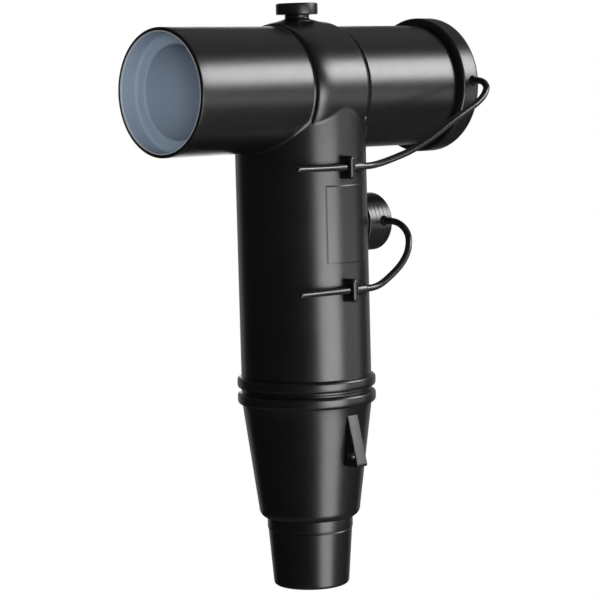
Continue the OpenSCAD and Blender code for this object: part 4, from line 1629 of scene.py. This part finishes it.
@dataclass(kw_only=True)
class Stud(Part):
    """Contact stud, threaded in front of the palm and behind it, with a relieved shank between."""

    node: str = "contact_stud"
    slot: str = "stud_steel"
    sharp: float = 50.0
    start_x: float = 72.1
    front_end: float = 99.1
    rear_start: float = 110.1
    end_x: float = 148.1
    radius: float = 8.0
    relief: float = 0.8
    pitch: float = 2.0
    depth: float = 1.15
    chamfer: float = 1.5
    row_step: float = 0.25
    row_slack: float = 0.01
    segments: int = 56
    crest: tuple[float, float] = (1.25, 0.1)

    def skins(self) -> list[Skin]:
        """Cuts the thread: radius - depth times a flattened saw that moves one pitch per turn.

        Returns:
            The stud.
        """
        x = np.arange(self.start_x, self.end_x + self.row_slack, self.row_step)
        turn = np.linspace(0, 2 * np.pi, self.segments, endpoint=False)
        phase = (x[:, None] / self.pitch - turn / (2 * np.pi)) % 1
        saw = np.clip(np.abs(2 * phase - 1) * self.crest[0] - self.crest[1], 0, 1)
        run_out = np.minimum(np.abs(x - self.front_end), np.abs(x - self.rear_start))
        threaded = (x < self.front_end) | (x > self.rear_start)
        depth = self.depth * np.where(threaded, np.clip(run_out / self.pitch, 0, 1), 0)
        waist = np.where(threaded, 0, np.clip(run_out, 0, self.relief))
        limit = self.radius - self.chamfer + np.minimum(x - self.start_x, self.end_x - x)
        radius = np.minimum(self.radius - waist[:, None] - depth[:, None] * saw, limit[:, None])
        points = np.stack([x[:, None] + 0 * turn, radius * np.cos(turn), radius * np.sin(turn)], -1)
        ends = points[[0, -1]] * [1, 0, 0]
        rows = np.concatenate([ends[:1], points, ends[1:]])
        return [Skin("threaded_stud").grid(rows, close_cols=True)]


@dataclass(kw_only=True)
class Strap(Part):
    """Round rubber strap from a cap to the collar behind its ear.

    Its side is a direction that the route never takes, and first and last are its end directions.
    """

    slot: str = "strap_rubber"
    sharp: float = 40.0
    tail: Tail
    route: list[Place]
    side: Place
    first: Place = (0, -1, 0)
    last: Place = (-1, 0, 0)
    diameter: float = 4.2
    steps: int = 10
    segments: int = 28

    def path(self) -> Points:
        """Gives the strap's middle line, a smooth curve through its route, one point per row."""
        return smooth_path(np.array(self.route, float), self.steps)

    def skins(self) -> list[Skin]:
        """Sweeps a circle along the path.

        Ring i is the path's point plus the radius times cos(a) and sin(a) on two directions square to
        the path.

        Returns:
            The strap.
        """
        path = self.path()
        ahead = np.gradient(path, axis=0)
        ahead[0], ahead[-1] = self.first, self.last
        ahead /= np.linalg.norm(ahead, axis=1, keepdims=True)
        out = np.cross(ahead, self.side)
        out /= np.linalg.norm(out, axis=1, keepdims=True)
        over = np.cross(ahead, out)
        turn = np.linspace(0, 2 * np.pi, self.segments, endpoint=False)[None, :, None]
        circle = np.cos(turn) * out[:, None] + np.sin(turn) * over[:, None]
        rings = path[:, None] + self.diameter / 2 * circle
        ends = np.broadcast_to(path[[0, -1], None], (2, self.segments, 3))
        rows = np.concatenate([ends[:1], rings, ends[1:]])
        return [Skin(f"{self.node}_tube").grid(rows, close_cols=True)]

    def build(self, finish: Material) -> list[bpy.types.Object]:
        """Args:
            finish: material of strap and tail.

        Returns:
            The strap's piece and the tail's.
        """
        piece, = super().build(finish)
        tail, = self.tail.build(finish)
        return [piece, tail]


REAR_CAP_STRAP = Strap(
    node="rear_cap_strap",
    tail=Tail(node="rear_cap_strap_tail", drop=SIZES.ear_drops[0], sag=-0.4),
    side=(-0.45, 0, 0.9),
    route=[
        (224, -42.9, 2), (224, -47, 2), (223.6, -51.5, 1), (222.4, -55.2, -1.6), (219.8, -57.2, -4.6),
        (215.4, -58, -8.6), (209, -58, -12.6), (201, -57.4, -16.6), (192, -56.6, -21),
        (184, -55.6, -25.4), (176, -54.4, -30.2), (166, -52.6, -35.4), (156, -50.8, -39.8),
        (146, -48.4, -43.2), (137, -46.2, -45.8), (130, -44.7, -47.2), (123.6, -44.3, -47.6)])
TEST_CAP_STRAP = Strap(
    node="test_cap_strap",
    tail=Tail(node="test_cap_strap_tail", drop=SIZES.ear_drops[1], sag=-0.2),
    side=(0.7, 0, -0.7),
    route=[
        (165.8, -18.4, -84), (166, -22, -84), (165.6, -26.5, -84.2), (164.8, -31.5, -85.2),
        (163.4, -37, -87.4), (161.6, -41.6, -90.4), (159.6, -44.8, -94), (157.2, -46.8, -98.6),
        (154.6, -47.4, -103.2), (151, -47.4, -107.6), (146.6, -46.9, -111.6), (141.6, -46, -115.4),
        (135.6, -45, -119.2), (130, -44.4, -121.2), (123.6, -44.3, -121.8)])

INNER_SHARP = 26.0
INNER_FINISHES: dict[str, Finish] = {
    "insulation_body": BLUE_GREY, "stress_cone": BLUE_GREY, "inner_electrode": INSERT,
    "cable_lug": TINNED, "shear_screws": BRASS, "flat_washer": ZINC, "spring_washer": SPRING,
    "clamp_nut": ZINC, "insulating_plug": RESIN, "plug_core": BRASS, "plug_head": BRASS,
    "test_point_electrode": ZINC,
}


def inner_pieces() -> None:
    """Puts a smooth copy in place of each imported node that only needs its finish."""
    for name, finish in INNER_FINISHES.items():
        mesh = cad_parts[name].data.copy()
        close_mesh(mesh, turn=False)
        piece = add_piece(f"{name}_smooth", mesh, material_of(finish), INNER_SHARP)
        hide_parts(name)


def main() -> None:
    """Builds the studio and every piece of the connector."""
    logging.basicConfig(level=logging.INFO, format="%(name)s: %(message)s")
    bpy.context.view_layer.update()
    Studio().build()
    for part in (Housing(), Adapter(), RearCap(), TestCap()):
        part.build(material_of(BLACK))
    for strap in (REAR_CAP_STRAP, TEST_CAP_STRAP):
        strap.build(material_of(STRAP))
    Stud().build(material_of(ZINC))
    inner_pieces()


if __name__ == "__main__":
    main()
